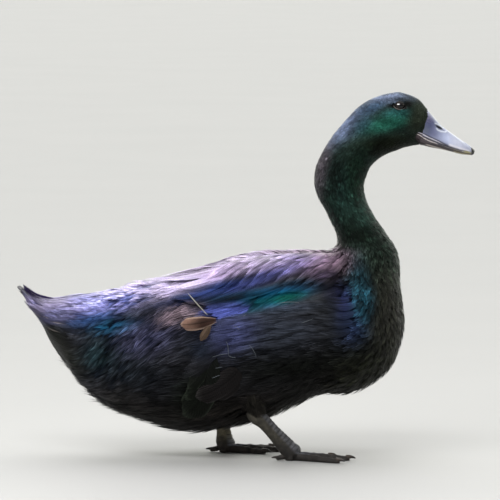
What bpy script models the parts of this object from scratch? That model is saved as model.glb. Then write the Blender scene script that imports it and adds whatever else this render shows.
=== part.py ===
"""Cayuga duck standing in mid step, life size, in metres, +Z up.

The bird faces +X and its own left side is +Y. The origin is on the floor under
the middle of the whole bird. Working sizes below are in millimetres and are
turned to metres when a mesh is made.
"""
import math

import bpy
import bmesh
import numpy as np

MM = 0.001
GAP = 0.3            # clearance between touching pieces
SIDES = 24           # facets round the body
STEP_TRUNK = 13.0    # spacing of the body's sections along its middle line
STEP_NECK = 9.0
STEP_HEAD = 5.5
STEP_TAIL = 6.0

# ---------------------------------------------------------------------------
# Sections of the body from the tail's tip to the root of the bill. Each lies in
# a plane square to the bird's plane of symmetry:
# name, dorsal (x, z), ventral (x, z), half width, widest at (0 dorsal..1 ventral),
# squareness (2 = ellipse)
SECTIONS = (
    ("tail_tip",   (-241.5, 181.0), (-240.0, 178.5), 13.0, 0.50, 2.6),
    ("tail_end",   (-234.0, 176.5), (-234.0, 170.0), 23.0, 0.50, 2.8),
    ("tail_mid",   (-227.0, 171.0), (-229.5, 162.5), 29.5, 0.48, 2.8),
    ("tail_base",  (-217.5, 166.5), (-222.0, 153.0), 33.0, 0.45, 2.6),
    ("tail_root",  (-205.0, 165.0), (-214.5, 141.5), 35.0, 0.42, 2.4),
    ("vent_tip",   (-186.0, 168.0), (-206.5, 123.5), 38.5, 0.40, 2.2),
    ("vent",       (-165.0, 170.5), (-194.0, 103.0), 44.0, 0.40, 2.1),
    ("rump_rear",  (-141.5, 175.5), (-175.0, 76.0),  50.5, 0.40, 2.1),
    ("rump",       (-114.0, 182.5), (-149.0, 53.5),  57.0, 0.42, 2.15),
    ("loin",       (-85.0, 188.5),  (-112.0, 38.0),  64.0, 0.45, 2.2),
    ("saddle",     (-53.5, 198.0),  (-63.5, 25.5),   71.0, 0.48, 2.25),
    ("hip",        (-18.5, 209.0),  (-16.5, 30.0),   76.5, 0.48, 2.25),
    ("back",       (17.5, 218.0),   (28.0, 41.5),    78.5, 0.48, 2.2),
    ("shoulder",   (52.5, 218.0),   (77.0, 64.0),    79.5, 0.50, 2.2),
    ("mantle",     (77.0, 219.0),   (123.5, 70.5),   75.0, 0.54, 2.15),
    ("breast",     (89.5, 220.5),   (155.5, 95.5),   65.0, 0.58, 2.1),
    ("crop",       (95.0, 223.5),   (168.0, 134.5),  50.0, 0.58, 2.1),
    ("neck_root",  (97.0, 228.5),   (164.5, 182.0),  37.5, 0.56, 2.0),
    ("neck_base",  (96.0, 237.0),   (161.5, 216.0),  30.0, 0.53, 2.0),
    ("neck_bend",  (91.5, 246.5),   (149.0, 237.0),  26.0, 0.51, 2.0),
    ("neck_low",   (84.5, 261.5),   (136.0, 256.0),  24.0, 0.50, 2.0),
    ("neck_mid",   (77.0, 274.5),   (128.0, 272.5),  23.3, 0.50, 2.0),
    ("neck_back",  (73.0, 289.0),   (125.5, 286.0),  23.3, 0.50, 2.0),
    ("neck_high",  (74.0, 305.0),   (128.0, 297.5),  23.5, 0.50, 2.0),
    ("neck_top",   (81.0, 322.0),   (133.0, 308.0),  23.7, 0.50, 2.0),
    ("nape",       (91.5, 339.0),   (141.5, 316.0),  23.5, 0.50, 2.0),
    ("occiput",    (105.5, 356.0),  (151.0, 321.5),  22.5, 0.50, 2.0),
    ("head_back",  (122.5, 373.0),  (159.5, 324.5),  22.0, 0.52, 2.05),
    ("cheek",      (140.5, 382.2),  (167.0, 327.5),  21.5, 0.56, 2.1),
    ("eye",        (159.5, 385.8),  (173.5, 329.0),  19.6, 0.58, 2.1),
    ("brow",       (174.5, 383.2),  (178.7, 330.0),  16.5, 0.58, 2.05),
    ("lore",       (185.0, 377.2),  (182.5, 330.5),  13.6, 0.57, 2.0),
    ("bill_root",  (192.4, 368.0),  (184.6, 330.5),  11.3, 0.58, 2.05),
)

# The folded wing, as a shell over the side of the trunk. Fractions run from the
# wing's tip end (0) to its wrist (1); angles are round the trunk from its spine.
WING_START_MM, WING_END_MM = 74.0, 322.0   # along the middle line, see wing_band()
WING_TOP_DEG, WING_FOOT_DEG = 13.0, 96.0
WING_THICK = 7.5
WING_EDGE = 1.6
WING_OFF = 0.8       # least height of the wing's rim over the trunk
WING_SUNK = 3.0      # how deep the wing is drawn before the trunk's shape is cut from it

# Eyes
EYE_RADIUS = 6.2
EYE_PLACE = (162.4, 11.2, 372.6)

# Bill
BILL_SECTIONS = (
    # along the bill from its root plane: top (x, z), tomium (x, z), foot (x, z), half width at tomium, squareness
    ("root",    (192.8, 367.8), (187.2, 341.8), (184.8, 330.4), 10.8, 2.3),
    ("saddle",  (197.0, 361.0), (190.6, 340.0), (188.2, 329.6), 10.6, 2.3),
    ("nostril", (203.5, 352.5), (196.0, 336.3), (193.6, 328.4), 10.4, 2.4),
    ("middle",  (212.5, 345.2), (206.5, 332.0), (205.2, 326.6), 11.0, 2.5),
    ("spoon",   (222.0, 339.2), (218.0, 327.9), (217.0, 323.8), 12.0, 2.6),
    ("nail",    (232.5, 332.2), (230.0, 323.6), (229.2, 320.9), 11.2, 2.5),
    ("tip",     (238.6, 327.6), (237.6, 321.6), (237.4, 320.0), 7.0, 2.3),
    ("lip",     (241.6, 324.2), (241.2, 320.9), (240.2, 320.2), 2.6, 2.0),
)

# Legs: where the hock and the ankle are, and how wide each section is
LEGS = {
    "R": dict(side=-1, hock=(13.5, -47.0, 49.0), ankle=(49.0, -43.0, 9.0), turn=4.0,
              cuff_top=(3.0, -49.0, 82.0), cuff_end=(14.0, -47.0, 48.5), cuff_r=(22.0, 11.5)),
    "L": dict(side=1, hock=(-25.5, 31.0, 50.0), ankle=(-21.0, 28.5, 9.0), turn=5.0,
              cuff_top=(-29.0, 33.0, 72.0), cuff_end=(-23.2, 29.8, 28.5), cuff_r=(17.0, 10.5)),
}
TARSUS_DEEP, TARSUS_WIDE = 7.4, 5.2      # half sizes of the shank, fore-and-aft and across
TOES = (
    # name, angle out from the foot's line (inner toe negative), length, half width at root and at tip, height
    ("inner", -27.0, 46.0, 3.6, 2.6, 6.2),
    ("middle", -1.0, 61.0, 3.9, 2.7, 6.8),
    ("outer", 25.0, 57.0, 3.6, 2.6, 6.2),
)
ROOT_RADIUS, ROOT_SQUEEZE = 12.0, 0.52   # where the toes leave the ankle's pad, and how narrow they are there
WEB_THICK = 1.5
WEB_SAG = 5.5
HIND_LENGTH, HIND_RADIUS = 15.0, 2.9
ANKLE_CUT = 8.0      # how far above the ankle the shank ends
CLAW_LENGTH, CLAW_RADIUS = 10.0, 2.2


# ---------------------------------------------------------------------------
# Scene, collections, materials

for _o in list(bpy.data.objects):
    bpy.data.objects.remove(_o, do_unlink=True)

PARTS = bpy.data.collections.new("cayuga_duck")
CUTTERS = bpy.data.collections.new("cutters")
for _c in (PARTS, CUTTERS):
    bpy.context.scene.collection.children.link(_c)


def material(name, colour, roughness, metallic=0.0):
    m = bpy.data.materials.new(name)
    m.use_nodes = True
    b = m.node_tree.nodes["Principled BSDF"]
    b.inputs["Base Color"].default_value = (*colour, 1.0)
    b.inputs["Roughness"].default_value = roughness
    b.inputs["Metallic"].default_value = metallic
    return m


MATS = {
    "head_plumage": material("head_plumage", (0.012, 0.035, 0.030), 0.45),
    "neck_plumage": material("neck_plumage", (0.014, 0.030, 0.032), 0.45),
    "body_plumage": material("body_plumage", (0.022, 0.022, 0.034), 0.50),
    "wing_plumage": material("wing_plumage", (0.030, 0.028, 0.070), 0.42),
    "tail_plumage": material("tail_plumage", (0.030, 0.028, 0.055), 0.45),
    "leg_skin": material("leg_skin", (0.045, 0.038, 0.032), 0.60),
    "bill_horn": material("bill_horn", (0.115, 0.125, 0.150), 0.42),
    "claw_horn": material("claw_horn", (0.020, 0.017, 0.015), 0.40),
    "eye": material("eye", (0.012, 0.008, 0.006), 0.05),
}


# ---------------------------------------------------------------------------
# The loft: smooth lines through the sections

names = [s[0] for s in SECTIONS]
table = np.array([[*s[1], *s[2], *s[3:]] for s in SECTIONS], float)
middles = (table[:, 0:2] + table[:, 2:4]) / 2
along = np.concatenate([[0.0], np.cumsum(np.linalg.norm(np.diff(middles, axis=0), axis=1))])


def slopes(xs, ys):
    """Tangents of a smooth curve through uneven samples."""
    h = np.diff(xs)[:, None]
    d = np.diff(ys, axis=0) / h
    m = np.empty_like(ys)
    m[1:-1] = (d[:-1] * h[1:] + d[1:] * h[:-1]) / (h[1:] + h[:-1])
    m[0], m[-1] = d[0], d[-1]
    return m


table_slopes = slopes(along, table)


def section_at(s):
    """Sizes of the section at a distance s along the middle line."""
    s = min(max(s, 0.0), along[-1])
    i = min(int(np.searchsorted(along, s, side="right")) - 1, len(along) - 2)
    h = along[i + 1] - along[i]
    t = (s - along[i]) / h
    return (
        (2 * t**3 - 3 * t**2 + 1) * table[i]
        + (t**3 - 2 * t**2 + t) * h * table_slopes[i]
        + (-2 * t**3 + 3 * t**2) * table[i + 1]
        + (t**3 - t**2) * h * table_slopes[i + 1]
    )


def station(name):
    return float(along[names.index(name)])


def surface_point(s, turn):
    """A point of the body's surface: turn goes from 0 at the spine over +Y to pi at the keel."""
    dx, dz, vx, vz, half, widest, square = section_at(s)
    c, n = math.cos(turn), math.sin(turn)
    p = 2.0 / square
    if c >= 0:
        a = widest * (1 - abs(c) ** p)
    else:
        a = widest + (1 - widest) * abs(c) ** p
    y = half * math.copysign(abs(n) ** p, n)
    return np.array([dx + (vx - dx) * a, y, dz + (vz - dz) * a])


def surface_normal(s, turn, ds=0.4, dt=0.01):
    a = surface_point(s + ds, turn) - surface_point(s - ds, turn)
    b = surface_point(s, turn + dt) - surface_point(s, turn - dt)
    n = np.cross(b, a)
    n /= np.linalg.norm(n)
    centre = (surface_point(s, 0.0) + surface_point(s, math.pi)) / 2
    return n if np.dot(n, surface_point(s, turn) - centre) > 0 else -n


def ring(s, shift=0.0, sides=SIDES, grow=0.0):
    """One closed section, moved along its own plane's normal by shift."""
    dx, dz, vx, vz = section_at(s)[:4]
    along_plane = np.array([vx - dx, 0.0, vz - dz])
    normal = np.cross([0.0, 1.0, 0.0], along_plane)
    normal /= np.linalg.norm(normal)
    if normal[0] * 0.3 + normal[2] < 0 and s > station("crop"):
        normal = -normal
    elif normal[0] < 0 and s <= station("crop"):
        normal = -normal
    points = []
    for k in range(sides):
        turn = 2 * math.pi * k / sides
        p = surface_point(s, turn)
        if grow:
            p = p + surface_normal(s, turn) * grow
        points.append(p + normal * shift)
    return points


def make(name, mat, build, collection=None, smooth=True):
    """A mesh object from points in millimetres: build fills a bmesh."""
    bm = bmesh.new()
    build(bm)
    bmesh.ops.scale(bm, vec=(MM, MM, MM), verts=bm.verts)
    bmesh.ops.recalc_face_normals(bm, faces=bm.faces)
    mesh = bpy.data.meshes.new(name)
    bm.to_mesh(mesh)
    bm.free()
    o = bpy.data.objects.new(name, mesh)
    (collection or PARTS).objects.link(o)
    if mat:
        mesh.materials.append(MATS[mat])
    if smooth:
        mesh.shade_smooth()
        mesh.set_sharp_from_angle(angle=math.radians(40))
    if collection is CUTTERS:
        o.hide_render = True
        o.display_type = "WIRE"
    return o


def loft(bm, rings):
    """Closed solid through rings of equal count, with flat ends."""
    rows = [[bm.verts.new(p) for p in r] for r in rings]
    count = len(rows[0])
    for a, b in zip(rows[:-1], rows[1:]):
        for k in range(count):
            bm.faces.new((a[k], a[(k + 1) % count], b[(k + 1) % count], b[k]))
    bm.faces.new(rows[0][::-1])
    bm.faces.new(rows[-1])


def boolean(obj, cutter, operation="DIFFERENCE", solver="EXACT"):
    m = obj.modifiers.new(operation.lower() + "_" + cutter.name, "BOOLEAN")
    m.operation = operation
    m.object = cutter
    m.solver = solver


def stations(a, b, step):
    n = max(2, int(round((b - a) / step)))
    return [a + (b - a) * i / n for i in range(n + 1)]


def body_length(name, mat, a, b, step, first_gap=True, last_gap=True):
    """One length of the body between two cuts, each half a gap back from the cut."""
    places = stations(a, b, step)

    def build(bm):
        rings = []
        for i, s in enumerate(places):
            shift = 0.0
            if i == 0 and first_gap:
                shift = GAP / 2
            if i == len(places) - 1 and last_gap:
                shift = -GAP / 2
            rings.append(ring(s, shift))
        loft(bm, rings)

    return make(name, mat, build)


CUT_TAIL = station("tail_root")
CUT_NECK = (station("neck_root") + station("neck_base")) / 2
CUT_MID = station("neck_mid") + 5.0
CUT_HEAD = station("nape")

tail = body_length("tail", "tail_plumage", 0.0, CUT_TAIL, STEP_TAIL, first_gap=False)
trunk = body_length("trunk", "body_plumage", CUT_TAIL, CUT_NECK, STEP_TRUNK)
neck_lower = body_length("neck_lower", "neck_plumage", CUT_NECK, CUT_MID, STEP_NECK)
neck_upper = body_length("neck_upper", "neck_plumage", CUT_MID, CUT_HEAD, STEP_NECK)
head = body_length("head", "head_plumage", CUT_HEAD, float(along[-1]), STEP_HEAD, last_gap=False)


# ---------------------------------------------------------------------------
# Eyes, in sockets

def ball(name, mat, centre, radius, levels, collection=None):
    def build(bm):
        bmesh.ops.create_icosphere(bm, subdivisions=levels, radius=radius)
        bmesh.ops.translate(bm, vec=centre, verts=bm.verts)

    return make(name, mat, build, collection)


for tag, side in (("L", 1), ("R", -1)):
    centre = (EYE_PLACE[0], side * EYE_PLACE[1], EYE_PLACE[2])
    ball(f"eye_{tag}", "eye", centre, EYE_RADIUS, 3)
    socket = ball(f"socket_{tag}", None, centre, EYE_RADIUS + 1.6 * GAP, 3, CUTTERS)
    boolean(head, socket)


# ---------------------------------------------------------------------------
# Bill: an upper and a lower half that meet along the tomium

bill_table = np.array([[*b[1], *b[2], *b[3], *b[4:]] for b in BILL_SECTIONS], float)
bill_middle = bill_table[:, 2:4]
bill_along = np.concatenate([[0.0], np.cumsum(np.linalg.norm(np.diff(bill_middle, axis=0), axis=1))])
bill_slopes = slopes(bill_along, bill_table)


def bill_at(s):
    i = min(int(np.searchsorted(bill_along, s, side="right")) - 1, len(bill_along) - 2)
    h = bill_along[i + 1] - bill_along[i]
    t = (s - bill_along[i]) / h
    return (
        (2 * t**3 - 3 * t**2 + 1) * bill_table[i]
        + (t**3 - 2 * t**2 + t) * h * bill_slopes[i]
        + (-2 * t**3 + 3 * t**2) * bill_table[i + 1]
        + (t**3 - t**2) * h * bill_slopes[i + 1]
    )


def bill_ring(s, upper, arc=10):
    """Half a bill's section: an arch above the tomium, or a shallow keel below it."""
    tx, tz, mx, mz, fx, fz, half, square = bill_at(s)
    p = 2.0 / square
    points = []
    top = np.array([tx, 0.0, tz])
    mid = np.array([mx, 0.0, mz])
    foot = np.array([fx, 0.0, fz])
    away = top - mid if upper else foot - mid
    lift = away / np.linalg.norm(away) * GAP / 2
    reach = away - lift
    if not upper:
        half -= 0.9
    for k in range(arc + 1):
        turn = math.pi * k / arc
        c, n = math.cos(turn), math.sin(turn)
        y = half * math.copysign(abs(c) ** p, c)
        points.append(mid + lift + reach * abs(n) ** p + np.array([0.0, y, 0.0]))
    for k in range(1, 6):
        y = -half + 2 * half * k / 6
        points.append(mid + lift + np.array([0.0, y, 0.0]))
    return points


def build_bill(upper):
    def build(bm):
        n = 11
        loft(bm, [bill_ring(bill_along[-1] * (i / n), upper) for i in range(n + 1)])

    return build


make("bill_upper", "bill_horn", build_bill(True))
make("bill_lower", "bill_horn", build_bill(False))


# ---------------------------------------------------------------------------
# Wings folded over the sides of the trunk

WING_COLUMNS, WING_ROWS = 18, 8


def wing_band(f):
    """Upper and lower edge of the wing, in degrees round the trunk, at fraction f from tip to wrist."""
    full = (1 - abs(2 * f - 1) ** 3.2) ** 0.5
    lean = 1.0 - 0.52 * (1 - f) ** 1.5            # the tip end is narrow and lies high
    top = WING_TOP_DEG - 7.0 * (1 - f)
    foot = WING_TOP_DEG + (WING_FOOT_DEG - WING_TOP_DEG) * lean
    middle = top + (foot - top) * (0.42 if f < 0.5 else 0.42 + 0.16 * (2 * f - 1))
    return middle + (top - middle) * full, middle + (foot - middle) * full


def build_wing(side):
    def build(bm):
        inner, outer = [], []
        for i in range(WING_COLUMNS + 1):
            f = 0.012 + 0.976 * i / WING_COLUMNS
            s = WING_START_MM + (WING_END_MM - WING_START_MM) * f
            top, foot = wing_band(f)
            swell = math.sin(math.pi * min(max(f, 0.0), 1.0)) ** 0.6
            a, b = [], []
            for j in range(WING_ROWS + 1):
                g = j / WING_ROWS
                turn = math.radians(top + (foot - top) * g)
                dome = max(0.0, 1 - abs(2 * g - 1) ** 2.4)
                thick = WING_EDGE + (WING_THICK - WING_EDGE) * dome * swell
                p, n = surface_point(s, turn), surface_normal(s, turn)
                for row, off in ((a, -WING_SUNK), (b, WING_OFF + thick)):
                    q = p + n * off
                    row.append(bm.verts.new((q[0], side * q[1], q[2])))
            inner.append(a)
            outer.append(b)
        for i in range(WING_COLUMNS):
            for j in range(WING_ROWS):
                bm.faces.new((inner[i][j], inner[i + 1][j], inner[i + 1][j + 1], inner[i][j + 1]))
                bm.faces.new((outer[i][j], outer[i][j + 1], outer[i + 1][j + 1], outer[i + 1][j]))
            for j in (0, WING_ROWS):
                bm.faces.new((inner[i][j], outer[i][j], outer[i + 1][j], inner[i + 1][j]))
        for j in range(WING_ROWS):
            for i in (0, WING_COLUMNS):
                bm.faces.new((inner[i][j], inner[i][j + 1], outer[i][j + 1], outer[i][j]))

    return build


WINGS = [make(f"wing_{tag}", "wing_plumage", build_wing(side)) for tag, side in (("L", 1), ("R", -1))]


# ---------------------------------------------------------------------------
# Legs

def tube_rings(path, sizes, sides, across=(0.0, 1.0, 0.0)):
    """Elliptical rings along a path: sizes are (half fore-and-aft, half across)."""
    path = [np.array(p, float) for p in path]
    rings = []
    for i, p in enumerate(path):
        before, after = path[max(i - 1, 0)], path[min(i + 1, len(path) - 1)]
        t = after - before
        t /= np.linalg.norm(t)
        y = np.array(across, float)
        y -= t * np.dot(y, t)
        y /= np.linalg.norm(y)
        x = np.cross(y, t)
        deep, wide = sizes[i]
        rings.append([
            p + x * deep * math.cos(2 * math.pi * k / sides) + y * wide * math.sin(2 * math.pi * k / sides)
            for k in range(sides)
        ])
    return rings


def on_floor(rings, level=0.0):
    """The same rings, with what would reach below the level laid flat on it."""
    return [[np.array([q[0], q[1], max(q[2], level)]) for q in r] for r in rings]


def mix(a, b, t):
    return np.array(a, float) + (np.array(b, float) - np.array(a, float)) * t


class Foot:
    """Places of one foot: rays fan out from the ankle along the toes and the webs between them."""

    def __init__(self, leg):
        self.side = leg["side"]
        self.centre = np.array([leg["ankle"][0], leg["ankle"][1]])
        self.turn = math.radians(leg["turn"]) * self.side

    def direction(self, degrees):
        a = math.radians(degrees) * self.side + self.turn
        return np.array([math.cos(a), math.sin(a)])

    def rays(self, grow=0.0):
        """(start, end, height at start, height at end) from the inner to the outer side."""
        rays = []
        toes = []
        for name, angle, length, root, tip, height in TOES:
            d = self.direction(angle)
            n = self.direction(angle + 90.0)
            toes.append((d, n, length + grow, root + grow, tip + grow, height + grow))
        for i, (d, n, length, root, tip, height) in enumerate(toes):
            base = self.centre + d * ROOT_RADIUS
            for offset, back, tall in ((-1.0, 3.2, 0.42), (-0.55, 0.9, 0.86), (0.0, 0.0, 1.0), (0.55, 0.9, 0.86), (1.0, 3.2, 0.42)):
                start = base + n * offset * root * ROOT_SQUEEZE
                end = self.centre + d * (length - back) + n * offset * tip
                rays.append((start, end, max(height * tall * 1.35, WEB_THICK), max(height * tall * 0.74, WEB_THICK)))
            if i + 1 < len(toes):
                a_end = self.centre + d * (length - 3.2) + n * tip
                d2, n2, length2, root2, tip2, _ = toes[i + 1]
                b_end = self.centre + d2 * (length2 - 3.2) - n2 * tip2
                a_start = base + n * root * ROOT_SQUEEZE
                b_start = self.centre + d2 * ROOT_RADIUS - n2 * root2 * ROOT_SQUEEZE
                for g in (0.14, 0.5, 0.86):
                    start = a_start + (b_start - a_start) * g
                    end = a_end + (b_end - a_end) * g
                    inward = end - self.centre
                    pull = WEB_SAG * (1 - (2 * g - 1) ** 2) ** 0.7 + 1.8
                    end = end - inward / np.linalg.norm(inward) * pull
                    rays.append((start, end, WEB_THICK + grow + 2.2, WEB_THICK + grow))
        return rays

    def build(self, grow=0.0):
        rays = self.rays(grow)
        count = len(rays)
        rows = 6

        def fill(bm):
            floor = -grow
            top, low = [], []
            for k, (start, end, high0, high1) in enumerate(rays):
                u = k / (count - 1)
                a = math.pi * (u - 0.5) * self.side + self.turn
                heel = self.centre + (6.6 + grow) * np.array([-math.cos(a), math.sin(a)]) * np.array([1.0, 1.0])
                column, base = [], []
                pad = 8.6 + grow
                plan = [(heel, 3.4), (self.centre + (heel - self.centre) * 0.55 + (start - self.centre) * 0.12, 7.6 + grow), (start, max(high0, 0.0) if high0 > 5 else 5.4)]
                for p, z in plan:
                    column.append(bm.verts.new((p[0], p[1], z)))
                    base.append(bm.verts.new((p[0], p[1], floor)))
                for j in range(1, rows + 1):
                    t = j / rows
                    p = start + (end - start) * t
                    first = max(high0, 0.0) if high0 > 5 else 5.4
                    z = high1 + (first - high1) * (1 - t) ** (1.6 if high0 > 5 else 5.0)
                    column.append(bm.verts.new((p[0], p[1], z)))
                    base.append(bm.verts.new((p[0], p[1], floor)))
                top.append(column)
                low.append(base)
            n = len(top[0])
            for k in range(count - 1):
                for j in range(n - 1):
                    bm.faces.new((top[k][j], top[k + 1][j], top[k + 1][j + 1], top[k][j + 1]))
                    bm.faces.new((low[k][j], low[k][j + 1], low[k + 1][j + 1], low[k + 1][j]))
                for j in (0, n - 1):
                    bm.faces.new((top[k][j], top[k + 1][j], low[k + 1][j], low[k][j]))
            for k in (0, count - 1):
                for j in range(n - 1):
                    bm.faces.new((top[k][j], top[k][j + 1], low[k][j + 1], low[k][j]))

        return fill


def claw_rings(base, heading, drop, grow=0.0, length=CLAW_LENGTH, radius=CLAW_RADIUS):
    """A short curved horn from base along heading, bent down by drop degrees."""
    heading = np.array([heading[0], heading[1], 0.0])
    path, sizes = [], []
    n = 4
    point = np.array(base, float) - heading * grow
    for i in range(n + 1):
        t = i / n
        path.append(point.copy())
        r = (radius + grow) * (1 - t) ** 0.6 * (1 - 0.10 * t) + 0.32 + (grow if i == n else 0.0)
        sizes.append((r * 1.1, r * 0.8))
        pitch = math.radians(-14.0 + drop * t)
        point = point + (heading * math.cos(pitch) - np.array([0, 0, 1.0]) * math.sin(pitch)) * (length + 2 * grow) / n
    side = np.array([-heading[1], heading[0], 0.0])
    return on_floor(tube_rings(path, sizes, 7, side), 0.25 - grow)


for tag, leg in LEGS.items():
    f = Foot(leg)
    foot = make(f"foot_{tag}", "leg_skin", f.build())

    # shank
    hock, ankle = np.array(leg["hock"]), np.array(leg["ankle"])
    start = np.array(leg["cuff_end"])
    run = ankle - hock
    run_unit = run / np.linalg.norm(run)
    first = start + run_unit * GAP
    cut = ankle - run_unit * ANKLE_CUT
    total = np.dot(cut - first, run_unit)
    path, sizes = [], []
    n = 7
    for i in range(n + 1):
        t = i / n
        p = mix(first, cut, t)
        hock_swell = math.exp(-((np.dot(p - hock, run_unit)) / 7.0) ** 2)
        ankle_swell = math.exp(-((1 - t) * total / 9.0) ** 2)
        path.append(p)
        sizes.append((TARSUS_DEEP + 1.1 * hock_swell + 0.9 * ankle_swell, TARSUS_WIDE + 1.3 * hock_swell + 1.5 * ankle_swell))
    LEGS[tag]["shank"] = make(f"tarsus_{tag}", "leg_skin", lambda bm: loft(bm, tube_rings(path, sizes, 14)))

    # the ankle's root, part of the foot, meets the shank face to face
    last = tube_rings(path, sizes, 14)[-1]
    stub_path = [cut + run_unit * GAP, mix(cut, ankle, 0.8), ankle + np.array([2.5, 0.0, -5.8])]
    stub_sizes = [sizes[-1], sizes[-1], (6.2, 5.6)]
    stub_rings = tube_rings(stub_path, stub_sizes, 14)
    stub_rings[0] = [q + run_unit * GAP for q in last]
    stub = make(f"ankle_root_{tag}", None, lambda bm: loft(bm, stub_rings), CUTTERS)
    boolean(foot, stub, "UNION", "MANIFOLD")

    # hind toe, from the back of the ankle, clear of the floor until its pad
    back = f.direction(168.0)
    hind_path = [
        (*(f.centre + back * (2.0 + HIND_LENGTH * t)), 6.6 - 4.2 * math.sin(math.pi * t * 0.5))
        for t in (0.0, 0.25, 0.5, 0.75, 1.0)
    ]
    hind_sizes = [(HIND_RADIUS + 0.4, HIND_RADIUS), (HIND_RADIUS, HIND_RADIUS), (HIND_RADIUS, HIND_RADIUS), (HIND_RADIUS - 0.1, HIND_RADIUS - 0.1), (HIND_RADIUS - 0.8, HIND_RADIUS - 0.8)]
    side_vector = (-back[1], back[0], 0.0)
    hind = make(f"hind_toe_{tag}", None, lambda bm: loft(bm, on_floor(tube_rings(hind_path, hind_sizes, 10, side_vector))), CUTTERS)
    boolean(foot, hind, "UNION", "MANIFOLD")

    # claws let into the toes' ends
    places = []
    for name, angle, length, root, tip, height in TOES:
        d = f.direction(angle)
        places.append((f"claw_{name}_{tag}", (*(f.centre + d * (length - 3.4)), 3.4), d, 44.0))
    end = hind_path[-1]
    places.append((f"claw_hind_{tag}", (end[0] - back[0] * 2.6, end[1] - back[1] * 2.6, end[2] + 0.3), back, 34.0))
    for name, base, d, drop in places:
        small = "hind" in name
        size = dict(length=7.0, radius=1.5) if small else dict()
        make(name, "claw_horn", lambda bm: loft(bm, claw_rings(base, d, drop, **size)))
        room = make(name + "_room", None, lambda bm: loft(bm, claw_rings(base, d, drop, GAP, **size)), CUTTERS)
        boolean(foot, room, solver="MANIFOLD")

    # feathered thigh: leaves the belly and ends at the hock
    top, low = np.array(leg["cuff_top"]), start
    r0, r1 = leg["cuff_r"]
    thigh_path = [mix(top, low, t) for t in (0.0, 0.2, 0.4, 0.6, 0.8, 1.0)]
    thigh_sizes = [(r0 + (r1 - r0) * t**0.9, (r0 + (r1 - r0) * t**0.9) * 0.86) for t in (0.0, 0.2, 0.4, 0.6, 0.8, 1.0)]
    rings = tube_rings(thigh_path, thigh_sizes, 16)
    # the last ring is turned square to the shank, so that the two meet face to face
    lift = low - np.mean(rings[-1], axis=0)
    rings[-1] = [p - run_unit * np.dot(p - low, run_unit) + lift * 0 for p in rings[-1]]
    thigh = make(f"thigh_{tag}", "body_plumage", lambda bm: loft(bm, rings))
    LEGS[tag]["thigh"] = thigh

trunk_room = make(
    "trunk_room", None,
    lambda bm: loft(bm, [ring(s, grow=GAP * 1.3) for s in stations(CUT_TAIL, CUT_NECK, STEP_TRUNK)]),
    CUTTERS,
)
for wing in WINGS:
    boolean(wing, trunk_room)
for leg in LEGS.values():
    boolean(leg["thigh"], trunk_room)
    boolean(leg["shank"], trunk_room)


# ---------------------------------------------------------------------------
# The bird is set so that the origin lies on the floor under the middle of its box

bpy.context.view_layer.update()
graph = bpy.context.evaluated_depsgraph_get()
lows, highs = [], []
for o in PARTS.objects:
    e = o.evaluated_get(graph)
    m = e.to_mesh()
    co = np.empty(len(m.vertices) * 3, np.float32)
    m.vertices.foreach_get("co", co)
    co = co.reshape(-1, 3)
    lows.append(co.min(0))
    highs.append(co.max(0))
    e.to_mesh_clear()
lows, highs = np.min(lows, 0), np.max(highs, 0)
shift = np.array([-(lows[0] + highs[0]) / 2, -(lows[1] + highs[1]) / 2, -lows[2]])
for o in [*PARTS.objects, *CUTTERS.objects]:
    o.location = shift
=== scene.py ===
"""Looks of a life-size cayuga duck in mid step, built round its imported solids.

Lengths are worked out in millimetres and turned to metres when a mesh is made.
The bird faces +X, its own left is +Y, and it stands on z = 0. The skin is one
closed surface under the coat; every feather is a thin vane of real mesh that
grows out of it and lies along the body.
"""
import math

import bpy
import bmesh
import numpy as np
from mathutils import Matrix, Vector
from mathutils.bvhtree import BVHTree


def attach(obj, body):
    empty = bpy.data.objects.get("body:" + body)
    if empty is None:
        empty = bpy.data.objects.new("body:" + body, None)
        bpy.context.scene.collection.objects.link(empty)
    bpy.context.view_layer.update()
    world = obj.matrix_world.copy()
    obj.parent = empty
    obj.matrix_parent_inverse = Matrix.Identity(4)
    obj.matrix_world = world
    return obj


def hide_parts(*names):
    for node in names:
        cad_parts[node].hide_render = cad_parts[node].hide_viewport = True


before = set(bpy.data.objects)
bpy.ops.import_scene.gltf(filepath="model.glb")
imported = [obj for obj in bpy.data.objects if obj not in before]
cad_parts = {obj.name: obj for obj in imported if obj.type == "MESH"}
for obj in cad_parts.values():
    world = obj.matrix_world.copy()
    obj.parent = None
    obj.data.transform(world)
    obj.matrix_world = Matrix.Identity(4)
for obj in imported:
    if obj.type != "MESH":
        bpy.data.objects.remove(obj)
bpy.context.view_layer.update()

MM = 0.001
RNG = np.random.default_rng(20)
PI = math.pi


def srgb(r, g, b):
    """Linear colour from 0-255 display values."""
    c = np.array([r, g, b], float) / 255
    return np.where(c <= 0.04045, c / 12.92, ((c + 0.055) / 1.055) ** 2.4)


def smooth(x, a, b):
    """0 below a, 1 above b, eased between."""
    t = np.clip((np.asarray(x, float) - a) / (b - a), 0, 1)
    return t * t * (3 - 2 * t)


def unit(v):
    return v / np.maximum(np.linalg.norm(v, axis=-1, keepdims=True), 1e-9)


# ---------------------------------------------------------------------------
# Sections of the body, tail's tip to bill's root:
# name, dorsal (x, z), ventral (x, z), half width, widest at (0 dorsal..1 ventral), squareness

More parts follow.
